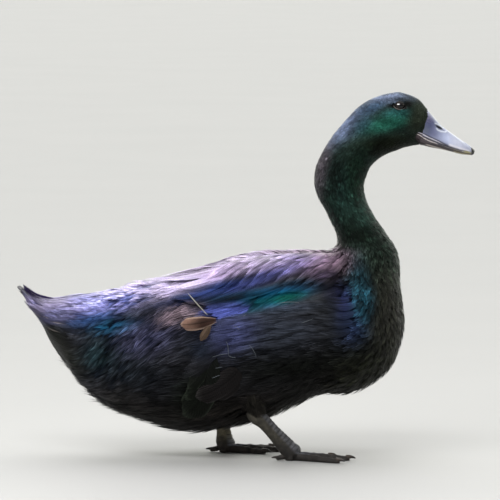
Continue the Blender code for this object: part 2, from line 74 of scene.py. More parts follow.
SECTIONS = (
    ("tail_tip",   (-241.5, 181.0), (-240.0, 178.5), 13.0, 0.50, 2.6),
    ("tail_end",   (-234.0, 176.5), (-234.0, 170.0), 23.0, 0.50, 2.8),
    ("tail_mid",   (-227.0, 171.0), (-229.5, 162.5), 29.5, 0.48, 2.8),
    ("tail_base",  (-217.5, 166.5), (-222.0, 153.0), 33.0, 0.45, 2.6),
    ("tail_root",  (-205.0, 165.0), (-214.5, 141.5), 35.0, 0.42, 2.4),
    ("vent_tip",   (-186.0, 168.0), (-206.5, 123.5), 38.5, 0.40, 2.2),
    ("vent",       (-165.0, 170.5), (-194.0, 103.0), 44.0, 0.40, 2.1),
    ("rump_rear",  (-141.5, 175.5), (-175.0, 76.0),  50.5, 0.40, 2.1),
    ("rump",       (-114.0, 182.5), (-149.0, 53.5),  57.0, 0.42, 2.15),
    ("loin",       (-85.0, 188.5),  (-112.0, 38.0),  64.0, 0.45, 2.2),
    ("saddle",     (-53.5, 198.0),  (-63.5, 25.5),   71.0, 0.48, 2.25),
    ("hip",        (-18.5, 209.0),  (-16.5, 30.0),   76.5, 0.48, 2.25),
    ("back",       (17.5, 218.0),   (28.0, 41.5),    78.5, 0.48, 2.2),
    ("shoulder",   (52.5, 218.0),   (77.0, 64.0),    79.5, 0.50, 2.2),
    ("mantle",     (77.0, 219.0),   (123.5, 70.5),   75.0, 0.54, 2.15),
    ("breast",     (89.5, 220.5),   (155.5, 95.5),   65.0, 0.58, 2.1),
    ("crop",       (95.0, 223.5),   (168.0, 134.5),  50.0, 0.58, 2.1),
    ("neck_root",  (97.0, 228.5),   (164.5, 182.0),  37.5, 0.56, 2.0),
    ("neck_base",  (96.0, 237.0),   (161.5, 216.0),  30.0, 0.53, 2.0),
    ("neck_bend",  (91.5, 246.5),   (149.0, 237.0),  26.0, 0.51, 2.0),
    ("neck_low",   (84.5, 261.5),   (136.0, 256.0),  24.0, 0.50, 2.0),
    ("neck_mid",   (77.0, 274.5),   (128.0, 272.5),  23.3, 0.50, 2.0),
    ("neck_back",  (73.0, 289.0),   (125.5, 286.0),  23.3, 0.50, 2.0),
    ("neck_high",  (74.0, 305.0),   (128.0, 297.5),  23.5, 0.50, 2.0),
    ("neck_top",   (81.0, 322.0),   (133.0, 308.0),  23.7, 0.50, 2.0),
    ("nape",       (91.5, 339.0),   (141.5, 316.0),  23.5, 0.50, 2.0),
    ("occiput",    (105.5, 356.0),  (151.0, 321.5),  22.5, 0.50, 2.0),
    ("head_back",  (122.5, 373.0),  (159.5, 324.5),  22.0, 0.52, 2.05),
    ("cheek",      (140.5, 382.2),  (167.0, 327.5),  21.5, 0.56, 2.1),
    ("eye",        (159.5, 385.8),  (173.5, 329.0),  19.6, 0.58, 2.1),
    ("brow",       (174.5, 383.2),  (178.7, 330.0),  16.5, 0.58, 2.05),
    ("lore",       (185.0, 377.2),  (182.5, 330.5),  13.6, 0.57, 2.0),
    ("bill_root",  (192.4, 368.0),  (184.6, 330.5),  11.3, 0.58, 2.05),
)

names = [s[0] for s in SECTIONS]
table = np.array([[*s[1], *s[2], *s[3:]] for s in SECTIONS], float)
middles = (table[:, 0:2] + table[:, 2:4]) / 2
along = np.concatenate([[0.0], np.cumsum(np.linalg.norm(np.diff(middles, axis=0), axis=1))])
TOTAL = float(along[-1])


def slopes(xs, ys):
    """Tangents of a smooth curve through uneven samples."""
    h = np.diff(xs)[:, None]
    d = np.diff(ys, axis=0) / h
    m = np.empty_like(ys)
    m[1:-1] = (d[:-1] * h[1:] + d[1:] * h[:-1]) / (h[1:] + h[:-1])
    m[0], m[-1] = d[0], d[-1]
    return m


def hermite(xs, ys, ms, x):
    """Values at the places x of the smooth curve through the samples."""
    x = np.clip(np.atleast_1d(np.asarray(x, float)), xs[0], xs[-1])
    i = np.clip(np.searchsorted(xs, x, side="right") - 1, 0, len(xs) - 2)
    h = (xs[i + 1] - xs[i])[:, None]
    t = (x - xs[i])[:, None] / h
    return (
        (2 * t**3 - 3 * t**2 + 1) * ys[i] + (t**3 - 2 * t**2 + t) * h * ms[i]
        + (-2 * t**3 + 3 * t**2) * ys[i + 1] + (t**3 - t**2) * h * ms[i + 1]
    )


table_slopes = slopes(along, table)


def station(name):
    return float(along[names.index(name)])


def body_points(s, turn):
    """Points of the body's outer form; turn runs from 0 at the spine over +Y to pi at the keel."""
    dx, dz, vx, vz, half, widest, square = hermite(along, table, table_slopes, s).T
    c, n = np.cos(turn), np.sin(turn)
    p = 2.0 / square
    cp = np.abs(c) ** p
    a = np.where(c >= 0, widest * (1 - cp), widest + (1 - widest) * cp)
    y = half * np.sign(n) * np.abs(n) ** p
    return np.stack([dx + (vx - dx) * a, y, dz + (vz - dz) * a], -1)


VIEW_TILT = math.radians(4.5)


def side_view(p):
    """Where a point lies in a picture of the bird's right side, 500 wide, 1.06 mm to a step; the left side is its mirror."""
    y = -np.abs(p[..., 1])
    u = 250 + (p[..., 0] - 4.8) / 1.06
    v = 250 - ((p[..., 2] - 218.9) * math.cos(VIEW_TILT) + y * math.sin(VIEW_TILT)) / 1.06
    return u, v


def blob(u, v, cu, cv, ru, rv, degrees=0.0, power=1.0):
    """A soft ellipse in the side view: 1 in its middle, about 1/e at its rim. Degrees turn it counter-clockwise on the picture."""
    a = math.radians(degrees)
    du, dv = u - cu, -(v - cv)
    x = (du * math.cos(a) + dv * math.sin(a)) / ru
    y = (-du * math.sin(a) + dv * math.cos(a)) / rv
    return np.exp(-((x * x + y * y) ** power))


# ---------------------------------------------------------------------------
# The outer form on a fine grid, which everything that grows on the body reads

class Field:
    """A closed-round surface sampled along s and turn, with its normals and tangents."""

    def __init__(self, points, s_from, s_to):
        self.p = points
        self.rows, self.cols = points.shape[:2]
        self.s0, self.s1 = s_from, s_to
        self.ds = (s_to - s_from) / (self.rows - 1)
        self.dt = 2 * PI / self.cols
        self.update()

    def update(self):
        p = self.p
        ps = np.gradient(p, self.ds, axis=0)
        pt = (np.roll(p, -1, 1) - np.roll(p, 1, 1)) / (2 * self.dt)
        n = unit(np.cross(pt, ps))
        out = p - p.mean(1, keepdims=True)
        self.n = np.where((n * out).sum(-1, keepdims=True) < 0, -n, n)
        self.all = np.concatenate([p, self.n, ps, pt], -1).astype(np.float32)

    def look(self, s, t, wide=6):
        """Point and normal (wide 6), and the tangents along s and turn too (wide 12)."""
        fs = (np.asarray(s) - self.s0) / self.ds
        i = np.clip(np.floor(fs).astype(int), 0, self.rows - 2)
        a = np.clip(fs - i, -60, 61)[..., None]
        ft = np.mod(np.asarray(t) / self.dt, self.cols)
        j = np.minimum(ft.astype(int), self.cols - 1)
        b = (ft - j)[..., None]
        k = (j + 1) % self.cols
        g = self.all[..., :wide]
        r = (g[i, j] * (1 - a) + g[i + 1, j] * a) * (1 - b) + (g[i, k] * (1 - a) + g[i + 1, k] * a) * b
        return r


NS, NT = 1313, 384
S2, T2 = np.meshgrid(np.linspace(0, TOTAL, NS), np.arange(NT) * 2 * PI / NT, indexing="ij")
body = Field(body_points(S2.ravel(), T2.ravel()).reshape(NS, NT, 3), 0.0, TOTAL)

EYE_RADIUS = 6.2
EYE_PLACE = np.array([162.4, 11.2, 372.6])


def wing_relief(s, turn):
    """Height of the folded wing over the side of the trunk."""
    f = (s - 74.0) / 248.0
    inside = (f > 0) & (f < 1)
    f = np.clip(f, 0.001, 0.999)
    full = (1 - np.abs(2 * f - 1) ** 3.2) ** 0.5
    lean = 1.0 - 0.52 * (1 - f) ** 1.5
    top = 13.0 - 7.0 * (1 - f)
    foot = 13.0 + 83.0 * lean
    middle = top + (foot - top) * np.where(f < 0.5, 0.42, 0.42 + 0.16 * (2 * f - 1))
    a, b = middle + (top - middle) * full, middle + (foot - middle) * full
    d = np.degrees(np.minimum(turn, 2 * PI - turn))
    g = np.clip((d - a) / np.maximum(b - a, 1e-3), 0, 1)
    dome = np.maximum(0.0, 1 - np.abs(2 * g - 1) ** 2.4)
    return np.where(inside, 7.4 * dome * np.sin(PI * f) ** 0.75, 0.0)


u2, v2 = side_view(body.p)
near_eye = np.hypot(body.p[..., 0] - EYE_PLACE[0], body.p[..., 2] - 380.5)
under_eye = np.hypot((body.p[..., 0] - EYE_PLACE[0]) * 0.8, body.p[..., 2] - 366.0)
relief = (
    wing_relief(S2, T2)
    + 1.7 * np.exp(-((near_eye / 7.5) ** 2)) * (np.abs(body.p[..., 1]) > 4)
    - 0.7 * np.exp(-((under_eye / 5.0) ** 2))
    + 1.2 * blob(u2, v2, 383, 124, 22, 12)                  # full cheek
    - 4.5 * blob(u2, v2, 338, 285, 10, 26, 12)              # hollow between the neck's root and the wing's wrist
    + 2.0 * blob(u2, v2, 300, 340, 75, 30)                  # full flank
    - 2.0 * blob(u2, v2, 190, 352, 16, 30, -20)             # furrow behind the flank
    + 2.2 * blob(u2, v2, 190, 394, 16, 22, -8)              # lobe of rear flank feathers
)
body.p = body.p + body.n * relief[..., None]
body.update()

COAT_AT = np.array([0, 20, 41, 75, 110, 200, 330, 400, 440, 500, 560, 590, 615, 640, TOTAL])
COAT_DEEP = np.array([0.8, 1.4, 3.0, 6.0, 8.0, 9.0, 9.0, 7.0, 5.0, 4.0, 3.4, 2.4, 1.5, 1.1, 0.8])


def coat_depth(s):
    return np.interp(s, COAT_AT, COAT_DEEP)


def flow(s, t, p, n, ps, pt, yaw=0.0):
    """Unit direction in which the coat lies, turned by yaw radians towards the keel."""
    down_body = -unit(ps)
    u, v = side_view(p)
    fall = (
        2.0
        + 36.0 * blob(u, v, 150, 335, 52, 34, 20)
        + 30.0 * blob(u, v, 118, 372, 40, 26, -30)
        + 24.0 * blob(u, v, 80, 340, 30, 26, -40)
        + 12.0 * blob(u, v, 225, 280, 60, 18, 12)
        + 17.0 * blob(u, v, 138, 300, 44, 16, 10)
        - 10.0 * blob(u, v, 330, 300, 22, 40)
        + 6.0 * blob(u, v, 260, 370, 80, 22)
    )
    a = np.radians(fall)
    world = np.stack([-np.cos(a), 0 * a, -np.sin(a)], -1)
    share = (smooth(s, 62, 96) * (1 - smooth(s, 318, 372)))[..., None]
    share = share * smooth(np.abs(np.sin(t)), 0.05, 0.5)[..., None]
    d = down_body * (1 - share) + world * share
    d = unit(d - n * (d * n).sum(-1, keepdims=True))
    side = np.cross(n, d)
    keelward = np.where(np.sin(t) >= 0, 1.0, -1.0)[..., None] * pt
    side = np.where((side * keelward).sum(-1, keepdims=True) < 0, -side, side)
    yaw = np.asarray(yaw)[..., None] if np.ndim(yaw) else yaw
    return d * np.cos(yaw) + side * np.sin(yaw)


def clumps(p, size, seed, stretch=0.55):
    """Smooth uneven values over space, about -1.5 to 1.5, in patches of about the given size."""
    r = np.random.default_rng(seed)
    k = unit(r.normal(0, 1, (14, 3))) * (2 * PI / (size * r.uniform(0.6, 1.7, (14, 1))))
    k[:, 0] *= stretch
    return np.sin(p @ k.T + r.uniform(0, 2 * PI, 14)).sum(-1) * (2 / 14) ** 0.5


def tufts(p, long, wide, seed, degrees):
    """Uneven values in patches drawn out along a slope of the side view."""
    a = math.radians(degrees)
    along, across = p[:, 0] * math.cos(a) + p[:, 2] * math.sin(a), p[:, 2] * math.cos(a) - p[:, 0] * math.sin(a)
    return clumps(np.stack([along * wide / long, p[:, 1], across], -1), wide, seed, 1.0)


def to_turns(ps, pt, x):
    """Steps of s and turn that make the tangent step x."""
    e, f, g = (ps * ps).sum(-1), (ps * pt).sum(-1), (pt * pt).sum(-1)
    a, b = (x * ps).sum(-1), (x * pt).sum(-1)
    det = np.maximum(e * g - f * f, 1e-6)
    return (g * a - f * b) / det, (e * b - f * a) / det


# ---------------------------------------------------------------------------
# Colours: a ground colour for each length of the body, and named patches over it

GROUND_AT = np.array([0, 60, 130, 240, 340, 400, 440, 500, 560, 600, TOTAL])
GROUND = np.array([
    srgb(52, 50, 66), srgb(46, 47, 54), srgb(42, 43, 50), srgb(42, 42, 46), srgb(46, 46, 48), srgb(44, 50, 46),
    srgb(36, 48, 40), srgb(34, 54, 46), srgb(38, 58, 52), srgb(44, 62, 56), srgb(44, 56, 50),
])

PATCHES = (
    # what, u, v, half length, half height, turn, colour, strength, edge
    ("belly", 250, 412, 120, 22, 4, srgb(38, 34, 30), 0.9, 1.5),
    ("rear belly", 130, 405, 45, 22, -28, srgb(40, 38, 36), 0.8, 1.5),
    ("flank slate", 262, 330, 62, 26, 2, srgb(57, 63, 76), 0.85, 1.2),
    ("flank low", 300, 366, 60, 16, 6, srgb(14, 17, 12), 0.9, 1.3),
    ("belly front", 335, 382, 44, 14, 14, srgb(14, 12, 6), 0.85, 1.4),
    ("flank rear blue", 232, 332, 22, 17, 20, srgb(86, 92, 142), 0.85, 1.2),
    ("flank line", 262, 309, 48, 5, 4, srgb(66, 78, 96), 0.6, 1.2),
    ("breast side teal", 358, 294, 11, 30, 4, srgb(48, 100, 118), 0.9, 1.3),
    ("breast side blue", 352, 322, 16, 22, 10, srgb(54, 70, 112), 0.8, 1.2),
    ("breast front", 388, 320, 20, 52, 6, srgb(46, 46, 38), 0.9, 1.6),
    ("breast low", 368, 366, 34, 22, 24, srgb(45, 48, 36), 0.9, 1.5),
    # the pale lavender of the mantle, back and upper scapulars is painted highlight of the light from above on the
    # sheen
    ("mantle front", 322, 261, 23, 13, 0, srgb(208, 170, 194), 0.9, 1.3),
    ("mantle", 282, 262, 44, 13, 3, srgb(147, 130, 186), 0.95, 1.5),
    ("back", 245, 262, 40, 12, 8, srgb(201, 188, 220), 0.95, 1.5),
    ("scapular top", 212, 275, 46, 10.5, 13, srgb(184, 164, 204), 0.95, 1.6),
    ("scapular blue", 214, 290.8, 50, 7.4, 14, srgb(26, 46, 98), 0.95, 1.6),
    ("scapular green", 228, 297.5, 28, 5.0, 12, srgb(9, 38, 60), 0.95, 1.5),
    # pale tertial tips: painted highlight on the upper side of the fold
    ("tertial tips", 181, 284.5, 22, 5, 9, srgb(182, 172, 208), 0.85, 1.5),
    ("speculum", 270, 297, 44, 9, 12, srgb(11, 76, 114), 1.0, 1.8),
    ("speculum rear", 255, 303, 15, 8, 20, srgb(4, 50, 56), 0.9, 1.4),
    ("speculum heart", 285, 297.5, 21, 5.2, 10, srgb(4, 78, 64), 0.9, 1.5),
    ("wing violet", 224, 309, 22, 7, 6, srgb(82, 94, 166), 1.0, 2.0),
    ("wing blue", 262, 280, 36, 5, 18, srgb(78, 86, 156), 0.6, 1.3),
    ("hollow", 334, 290, 12, 18, 8, srgb(24, 26, 52), 0.9, 1.3),
    # rump top and rump blue: painted highlight of the light from above, near white on top and pale blue below it
    ("rump top", 142, 288.5, 52, 11, 6, srgb(230, 216, 255), 0.95, 1.6),
    ("rump blue", 100, 303, 44, 11, 12, srgb(158, 158, 228), 0.9, 1.4),
    ("rump teal rear", 96, 318, 24, 6, 14, srgb(44, 74, 124), 0.85, 1.3),
    ("rump teal", 118, 325, 26, 8, 8, srgb(4, 62, 90), 0.95, 1.4),
    ("rump side", 150, 334, 34, 18, 20, srgb(72, 73, 102), 0.85, 1.3),
    ("rump brown", 182, 313, 21, 9, 14, srgb(138, 120, 130), 0.85, 1.4),
    ("fold shade rear", 192, 299.3, 18, 3.0, -7, srgb(7, 26, 56), 0.85, 1.5),
    ("fold shade", 230, 299.8, 26, 3.8, 12, srgb(2, 16, 28), 0.95, 1.5),
    ("flank gap", 203, 348, 11, 10, 30, srgb(32, 40, 54), 0.8, 1.3),
    ("rump low", 120, 366, 50, 18, -12, srgb(29, 36, 42), 0.8, 1.3),
    ("rump green", 100, 352, 16, 18, -30, srgb(26, 50, 54), 0.6, 1.2),
    ("undertail", 58, 345, 16, 46, 38, srgb(30, 31, 25), 0.9, 1.8),
    ("lobe", 190, 394, 17, 22, -8, srgb(19, 25, 17), 0.85, 1.4),
    ("tail top", 52, 305, 32, 9, -6, srgb(140, 132, 166), 0.9, 1.5),
    ("tail side", 58, 315, 18, 6, 14, srgb(106, 106, 144), 0.8, 1.4),
    # nape: painted rim light along the back of the neck
    ("nape", 322, 160, 9, 46, -12, srgb(94, 84, 94), 0.8, 1.3),
    ("nape high", 345, 124, 26, 11, 44, srgb(128, 142, 178), 0.85, 1.3),
    ("crown", 388, 97, 30, 7, 2, srgb(116, 128, 154), 0.95, 1.4),
    ("temple", 372, 108, 18, 6, 22, srgb(56, 78, 104), 0.8, 1.3),
    ("cheek teal", 396, 115, 15, 6, 4, srgb(56, 112, 112), 1.0, 1.4),
    ("cheek green", 386, 124, 24, 8, 12, srgb(46, 116, 98), 0.95, 1.4),
    ("ear blue", 362, 124, 14, 9, 34, srgb(38, 66, 78), 0.8, 1.3),
    ("face", 419, 118, 10, 15, -16, srgb(58, 66, 54), 0.95, 1.6),
    ("eye front", 408, 104.5, 5.5, 3.6, -10, srgb(20, 20, 20), 0.9, 1.5),
    ("eye back", 390.5, 106, 4, 2.4, 12, srgb(22, 24, 26), 0.8, 1.4),
    ("brow", 400, 100.0, 8, 2.0, 4, srgb(28, 34, 40), 0.8, 1.4),
    ("jaw", 388, 143, 34, 8, 6, srgb(19, 23, 7), 0.9, 1.4),
    ("throat", 352, 168, 14, 18, 30, srgb(14, 18, 5), 0.7, 1.2),
    ("under jaw", 385, 151, 26, 5, 10, srgb(12, 16, 5), 0.8, 1.4),
    ("neck speckle", 342, 190, 15, 28, 8, srgb(26, 50, 46), 0.7, 1.2),
    ("neck streak", 366, 212, 10, 24, -22, srgb(48, 74, 66), 0.7, 1.2),
    # crest rear and crest front: painted highlight along the top line of the back
    ("crest rear", 225, 257.5, 34, 4.5, 14, srgb(236, 220, 255), 0.85, 1.3),
    ("crest front", 298, 250.5, 38, 4.0, 0, srgb(204, 182, 206), 0.85, 1.3),
    ("breast blue low", 363, 302, 9, 17, 0, srgb(54, 124, 150), 0.85, 1.3),
    ("breast violet", 344, 300, 8, 17, -8, srgb(56, 64, 120), 0.6, 1.3),
    ("neck front", 356, 176, 9, 24, -10, srgb(30, 54, 42), 0.8, 1.3),
    ("neck low", 357, 234, 17, 13, 0, srgb(5, 13, 6), 0.9, 1.4),
    ("neck dark", 334, 176, 9, 26, -8, srgb(9, 20, 16), 0.85, 1.4),
    ("shoulder dark", 322, 277, 15, 8, 0, srgb(48, 38, 58), 0.9, 1.5),
)


def plumage_colour(p, s):
    """Sheen colour of the coat at points of the body."""
    u, v = side_view(p)
    c = np.stack([np.interp(s, GROUND_AT, GROUND[:, k]) for k in range(3)], -1)
    for _, cu, cv, ru, rv, turn, colour, strength, edge in PATCHES:
        w = (strength * blob(u, v, cu, cv, ru, rv, turn, edge))[..., None]
        c = c * (1 - w) + colour * w
    return c


# ---------------------------------------------------------------------------
# Mesh from arrays

def add_object(name, mesh, mats):
    o = bpy.data.objects.new(name, mesh)
    bpy.context.scene.collection.objects.link(o)
    for m in mats if isinstance(mats, (list, tuple)) else [mats]:
        mesh.materials.append(m)
    return o


def fill_mesh(name, verts, faces, smooth_faces=True):
    """A mesh from points in millimetres and an array of quads or triangles."""
    mesh = bpy.data.meshes.new(name)
    faces = np.asarray(faces, np.int32)
    n, k = faces.shape
    mesh.vertices.add(len(verts))
    mesh.vertices.foreach_set("co", (np.asarray(verts, np.float32) * MM).ravel())
    mesh.loops.add(n * k)
    mesh.loops.foreach_set("vertex_index", faces.ravel())
    mesh.polygons.add(n)
    mesh.polygons.foreach_set("loop_start", np.arange(n, dtype=np.int32) * k)
    mesh.polygons.foreach_set("use_smooth", np.full(n, smooth_faces))
    mesh.update(calc_edges=True)
    return mesh


def put_colour(mesh, name, values):
    a = mesh.color_attributes.new(name, "FLOAT_COLOR", "POINT")
    rgba = np.ones((len(values), 4), np.float32)
    rgba[:, :3] = np.clip(values, 0, 1)
    a.data.foreach_set("color", rgba.ravel())


def put_uv(mesh, name, values):
    layer = mesh.uv_layers.new(name=name)
    index = np.empty(len(mesh.loops), np.int32)
    mesh.loops.foreach_get("vertex_index", index)
    layer.data.foreach_set("uv", np.asarray(values, np.float32)[index].ravel())


def coords(mesh):
    co = np.empty(len(mesh.vertices) * 3, np.float32)
    mesh.vertices.foreach_get("co", co)
    return co.reshape(-1, 3) / MM


def grid_faces(rows, cols, closed=True):
    """Quads of a grid of points, row by row; closed joins the last column to the first."""
    i, j = np.meshgrid(np.arange(rows - 1), np.arange(cols if closed else cols - 1), indexing="ij")
    a = i * cols + j
    b = i * cols + (j + 1) % cols
    return np.stack([a, b, b + cols, a + cols], -1).reshape(-1, 4)


def tube(path, sizes, sides, across):
    """Elliptical rings along a path; sizes are (half deep, half wide), across is the wide way."""
    path = np.asarray(path, float)
    t = unit(np.gradient(path, axis=0))
    y = np.asarray(across, float) - t * (t @ np.asarray(across, float))[:, None]
    y = unit(y)
    x = np.cross(y, t)
    k = np.arange(sides) * 2 * PI / sides
    sizes = np.asarray(sizes, float)
    return (
        path[:, None] + x[:, None] * (sizes[:, 0, None] * np.cos(k))[..., None]
        + y[:, None] * (sizes[:, 1, None] * np.sin(k))[..., None]
    )


def ring_mesh(name, rings):
    """A closed solid through rings, its ends closed by fans."""
    rows, cols = rings.shape[:2]
    verts = np.concatenate([rings.reshape(-1, 3), rings[0].mean(0)[None], rings[-1].mean(0)[None]])
    quads = grid_faces(rows, cols)
    bm = bmesh.new()
    vs = [bm.verts.new(p * MM) for p in verts]
    for q in quads:
        bm.faces.new([vs[i] for i in q])
    for j in range(cols):
        bm.faces.new((vs[-2], vs[(j + 1) % cols], vs[j]))
        bm.faces.new((vs[-1], vs[(rows - 1) * cols + j], vs[(rows - 1) * cols + (j + 1) % cols]))
    bmesh.ops.recalc_face_normals(bm, faces=bm.faces)
    mesh = bpy.data.meshes.new(name)
    bm.to_mesh(mesh)
    bm.free()
    return mesh


# ---------------------------------------------------------------------------
# Skin of body, neck and head: one closed surface with eye sockets and lids

def skin_rows():
    rows = []
    for a, b, step in ((0, 60, 3.0), (60, 400, 4.5), (400, 585, 3.0), (585, TOTAL, 1.1)):
        n = int(round((b - a) / step))
        rows.append(np.linspace(a, b, n, endpoint=False))
    return np.concatenate([*rows, [TOTAL]])


def skin_points(s, t):
    q = body.look(s, t)
    fall = coat_depth(s)
    return q[..., :3] - q[..., 3:6] * np.minimum(fall, 60)[..., None]


LID_TILT = math.radians(-9.0)
LID_LONG, LID_UP, LID_DOWN = 5.75, 3.75, 3.45
LID_OUT = 1.85


def lid_point(turn, reach):
    """Place (x, z) about the eye's middle on the almond outline of the opening, grown by reach."""
    c, n = math.cos(turn), math.sin(turn)
    a = LID_LONG * reach * math.copysign(abs(c) ** 1.12, c)
    b = (LID_UP if n > 0 else LID_DOWN) * reach * math.copysign(abs(n) ** 1.08, n)
    return (a * math.cos(LID_TILT) - b * math.sin(LID_TILT), a * math.sin(LID_TILT) + b * math.cos(LID_TILT))


def lid_reach(x, z):
    """How far out from the opening's outline a place in the side view lies: 1 on the outline."""
    dx, dz = x - EYE_PLACE[0], z - EYE_PLACE[2]
    a = (dx * math.cos(LID_TILT) + dz * math.sin(LID_TILT)) / LID_LONG
    b = -dx * math.sin(LID_TILT) + dz * math.cos(LID_TILT)
    b = b / np.where(b > 0, LID_UP, LID_DOWN)
    return np.hypot(a, b)


def build_body_skin():
    rows = skin_rows()
    cols = 144
    t = np.arange(cols) * 2 * PI / cols
    s2, t2 = np.meshgrid(rows, t, indexing="ij")
    pts = skin_points(s2, t2)
    bm = bmesh.new()
    vs = [bm.verts.new(p * MM) for p in pts.reshape(-1, 3)]
    for q in grid_faces(len(rows), cols):
        bm.faces.new([vs[i] for i in q])
    bm.faces.new([vs[j] for j in range(cols)][::-1])
    bm.faces.new([vs[(len(rows) - 1) * cols + j] for j in range(cols)])
    bmesh.ops.recalc_face_normals(bm, faces=bm.faces)
    tree = BVHTree.FromBMesh(bm)
    for side in (1, -1):
        cut = []
        for f in bm.faces:
            c = f.calc_center_median() / MM
            if c.y * side > 4 and abs(c.x - EYE_PLACE[0]) < 20 and abs(c.z - EYE_PLACE[2]) < 16:
                if lid_reach(c.x, c.z) < LID_OUT + 0.12:
                    cut.append(f)
        bmesh.ops.delete(bm, geom=cut, context="FACES_ONLY")
        for v in [v for v in bm.verts if not v.link_faces]:
            bm.verts.remove(v)
        edges = [e for e in bm.edges if e.is_boundary]
        loose = [e for e in bm.edges if not e.link_faces]
        for e in loose:
            bm.edges.remove(e)
        edges = [e for e in bm.edges if e.is_boundary]
        sides = 64
        rings = []
        reaches = (1.85, 1.66, 1.5, 1.38, 1.28, 1.2, 1.13, 1.07, 1.03, 1.0, 0.975, 0.955, 0.94)
        for r in reaches:
            ring = []
            for k in range(sides):
                a = 2 * PI * k / sides
                dx, dz = lid_point(a, r)
                x, z = EYE_PLACE[0] + dx, EYE_PLACE[2] + dz
                hit = tree.ray_cast(Vector((x, side * 60, z)) * MM, Vector((0, -side, 0)))[0]
                y_skin = abs(hit.y) / MM
                inner = max(EYE_RADIUS**2 - dx * dx - dz * dz, 0.4)
                y_eye = EYE_PLACE[1] + math.sqrt(inner)
                w = min(max((LID_OUT - r) / (LID_OUT - 1.0), 0.0), 1.0)
                w = w * w * (3 - 2 * w)
                rim = 0.55 + 0.30 * math.exp(-(((r - 1.12) / 0.07) ** 2)) - 0.30 * math.exp(-(((r - 1.30) / 0.07) ** 2))
                if r < 1.0:
                    rim = 0.55 - 0.5 * ((1.0 - r) / 0.06) ** 1.5
                y = y_skin * (1 - w) + (y_eye + rim) * w
                ring.append((x, side * y, z))
            rings.append(ring)
        centre = np.array([EYE_PLACE[0], side * EYE_PLACE[1], EYE_PLACE[2]])
        last = np.array(rings[-1])
        back = np.array([0, -side, 0.0])
        for k in range(1, 8):
            w = k / 8
            d = unit(last - centre)
            d = unit(d * math.cos(w * PI * 0.5) + back * math.sin(w * PI * 0.5) + back * w * 0.6)
            rings.append([tuple(q) for q in centre + d * (EYE_RADIUS + 0.28)])
        made = [[bm.verts.new(Vector(q) * MM) for q in ring] for ring in rings]
        first = None
        for a, b in zip(made[:-1], made[1:]):
            for k in range(sides):
                f = bm.faces.new((a[k], a[(k + 1) % sides], b[(k + 1) % sides], b[k]))
        bm.faces.new(made[-1])
        ring_edges = [e for e in bm.edges if e.is_boundary and e.verts[0] in made[0] and e.verts[1] in made[0]]
        outer = [e for e in edges if e.is_valid and e.is_boundary]
        bmesh.ops.bridge_loops(bm, edges=outer + ring_edges)
    bmesh.ops.triangulate(bm, faces=[f for f in bm.faces if len(f.verts) > 4])
    bmesh.ops.recalc_face_normals(bm, faces=bm.faces)
    mesh = bpy.data.meshes.new("body_skin")
    bm.to_mesh(mesh)
    open_edges = sum(e.is_boundary for e in bm.edges)
    bm.free()
    if open_edges:
        print("skin has open edges:", open_edges)
    return mesh


# ---------------------------------------------------------------------------
# Legs and feet

LEGS = {
    "R": dict(side=-1, hock=(13.5, -47.0, 49.0), ankle=(49.0, -43.0, 9.0), turn=4.0,
              cuff_top=(3.0, -49.0, 82.0), cuff_end=(14.0, -47.0, 48.5), cuff_r=(22.0, 11.5)),
    "L": dict(side=1, hock=(-25.5, 31.0, 50.0), ankle=(-21.0, 28.5, 9.0), turn=5.0,
              cuff_top=(-29.0, 33.0, 72.0), cuff_end=(-23.2, 29.8, 28.5), cuff_r=(17.0, 10.5)),
}
TOES = (("inner", -27.0, 46.0, 3.6, 2.6, 6.2), ("middle", -1.0, 61.0, 3.9, 2.7, 6.8), ("outer", 25.0, 57.0, 3.6, 2.6, 6.2))
ROOT_RADIUS, ROOT_SQUEEZE = 12.0, 0.52
WEB_THICK, WEB_SAG = 1.5, 5.5


def on_floor(rings, level=0.0):
    rings = np.array(rings, float)
    rings[..., 2] = np.maximum(rings[..., 2], level)
    return rings


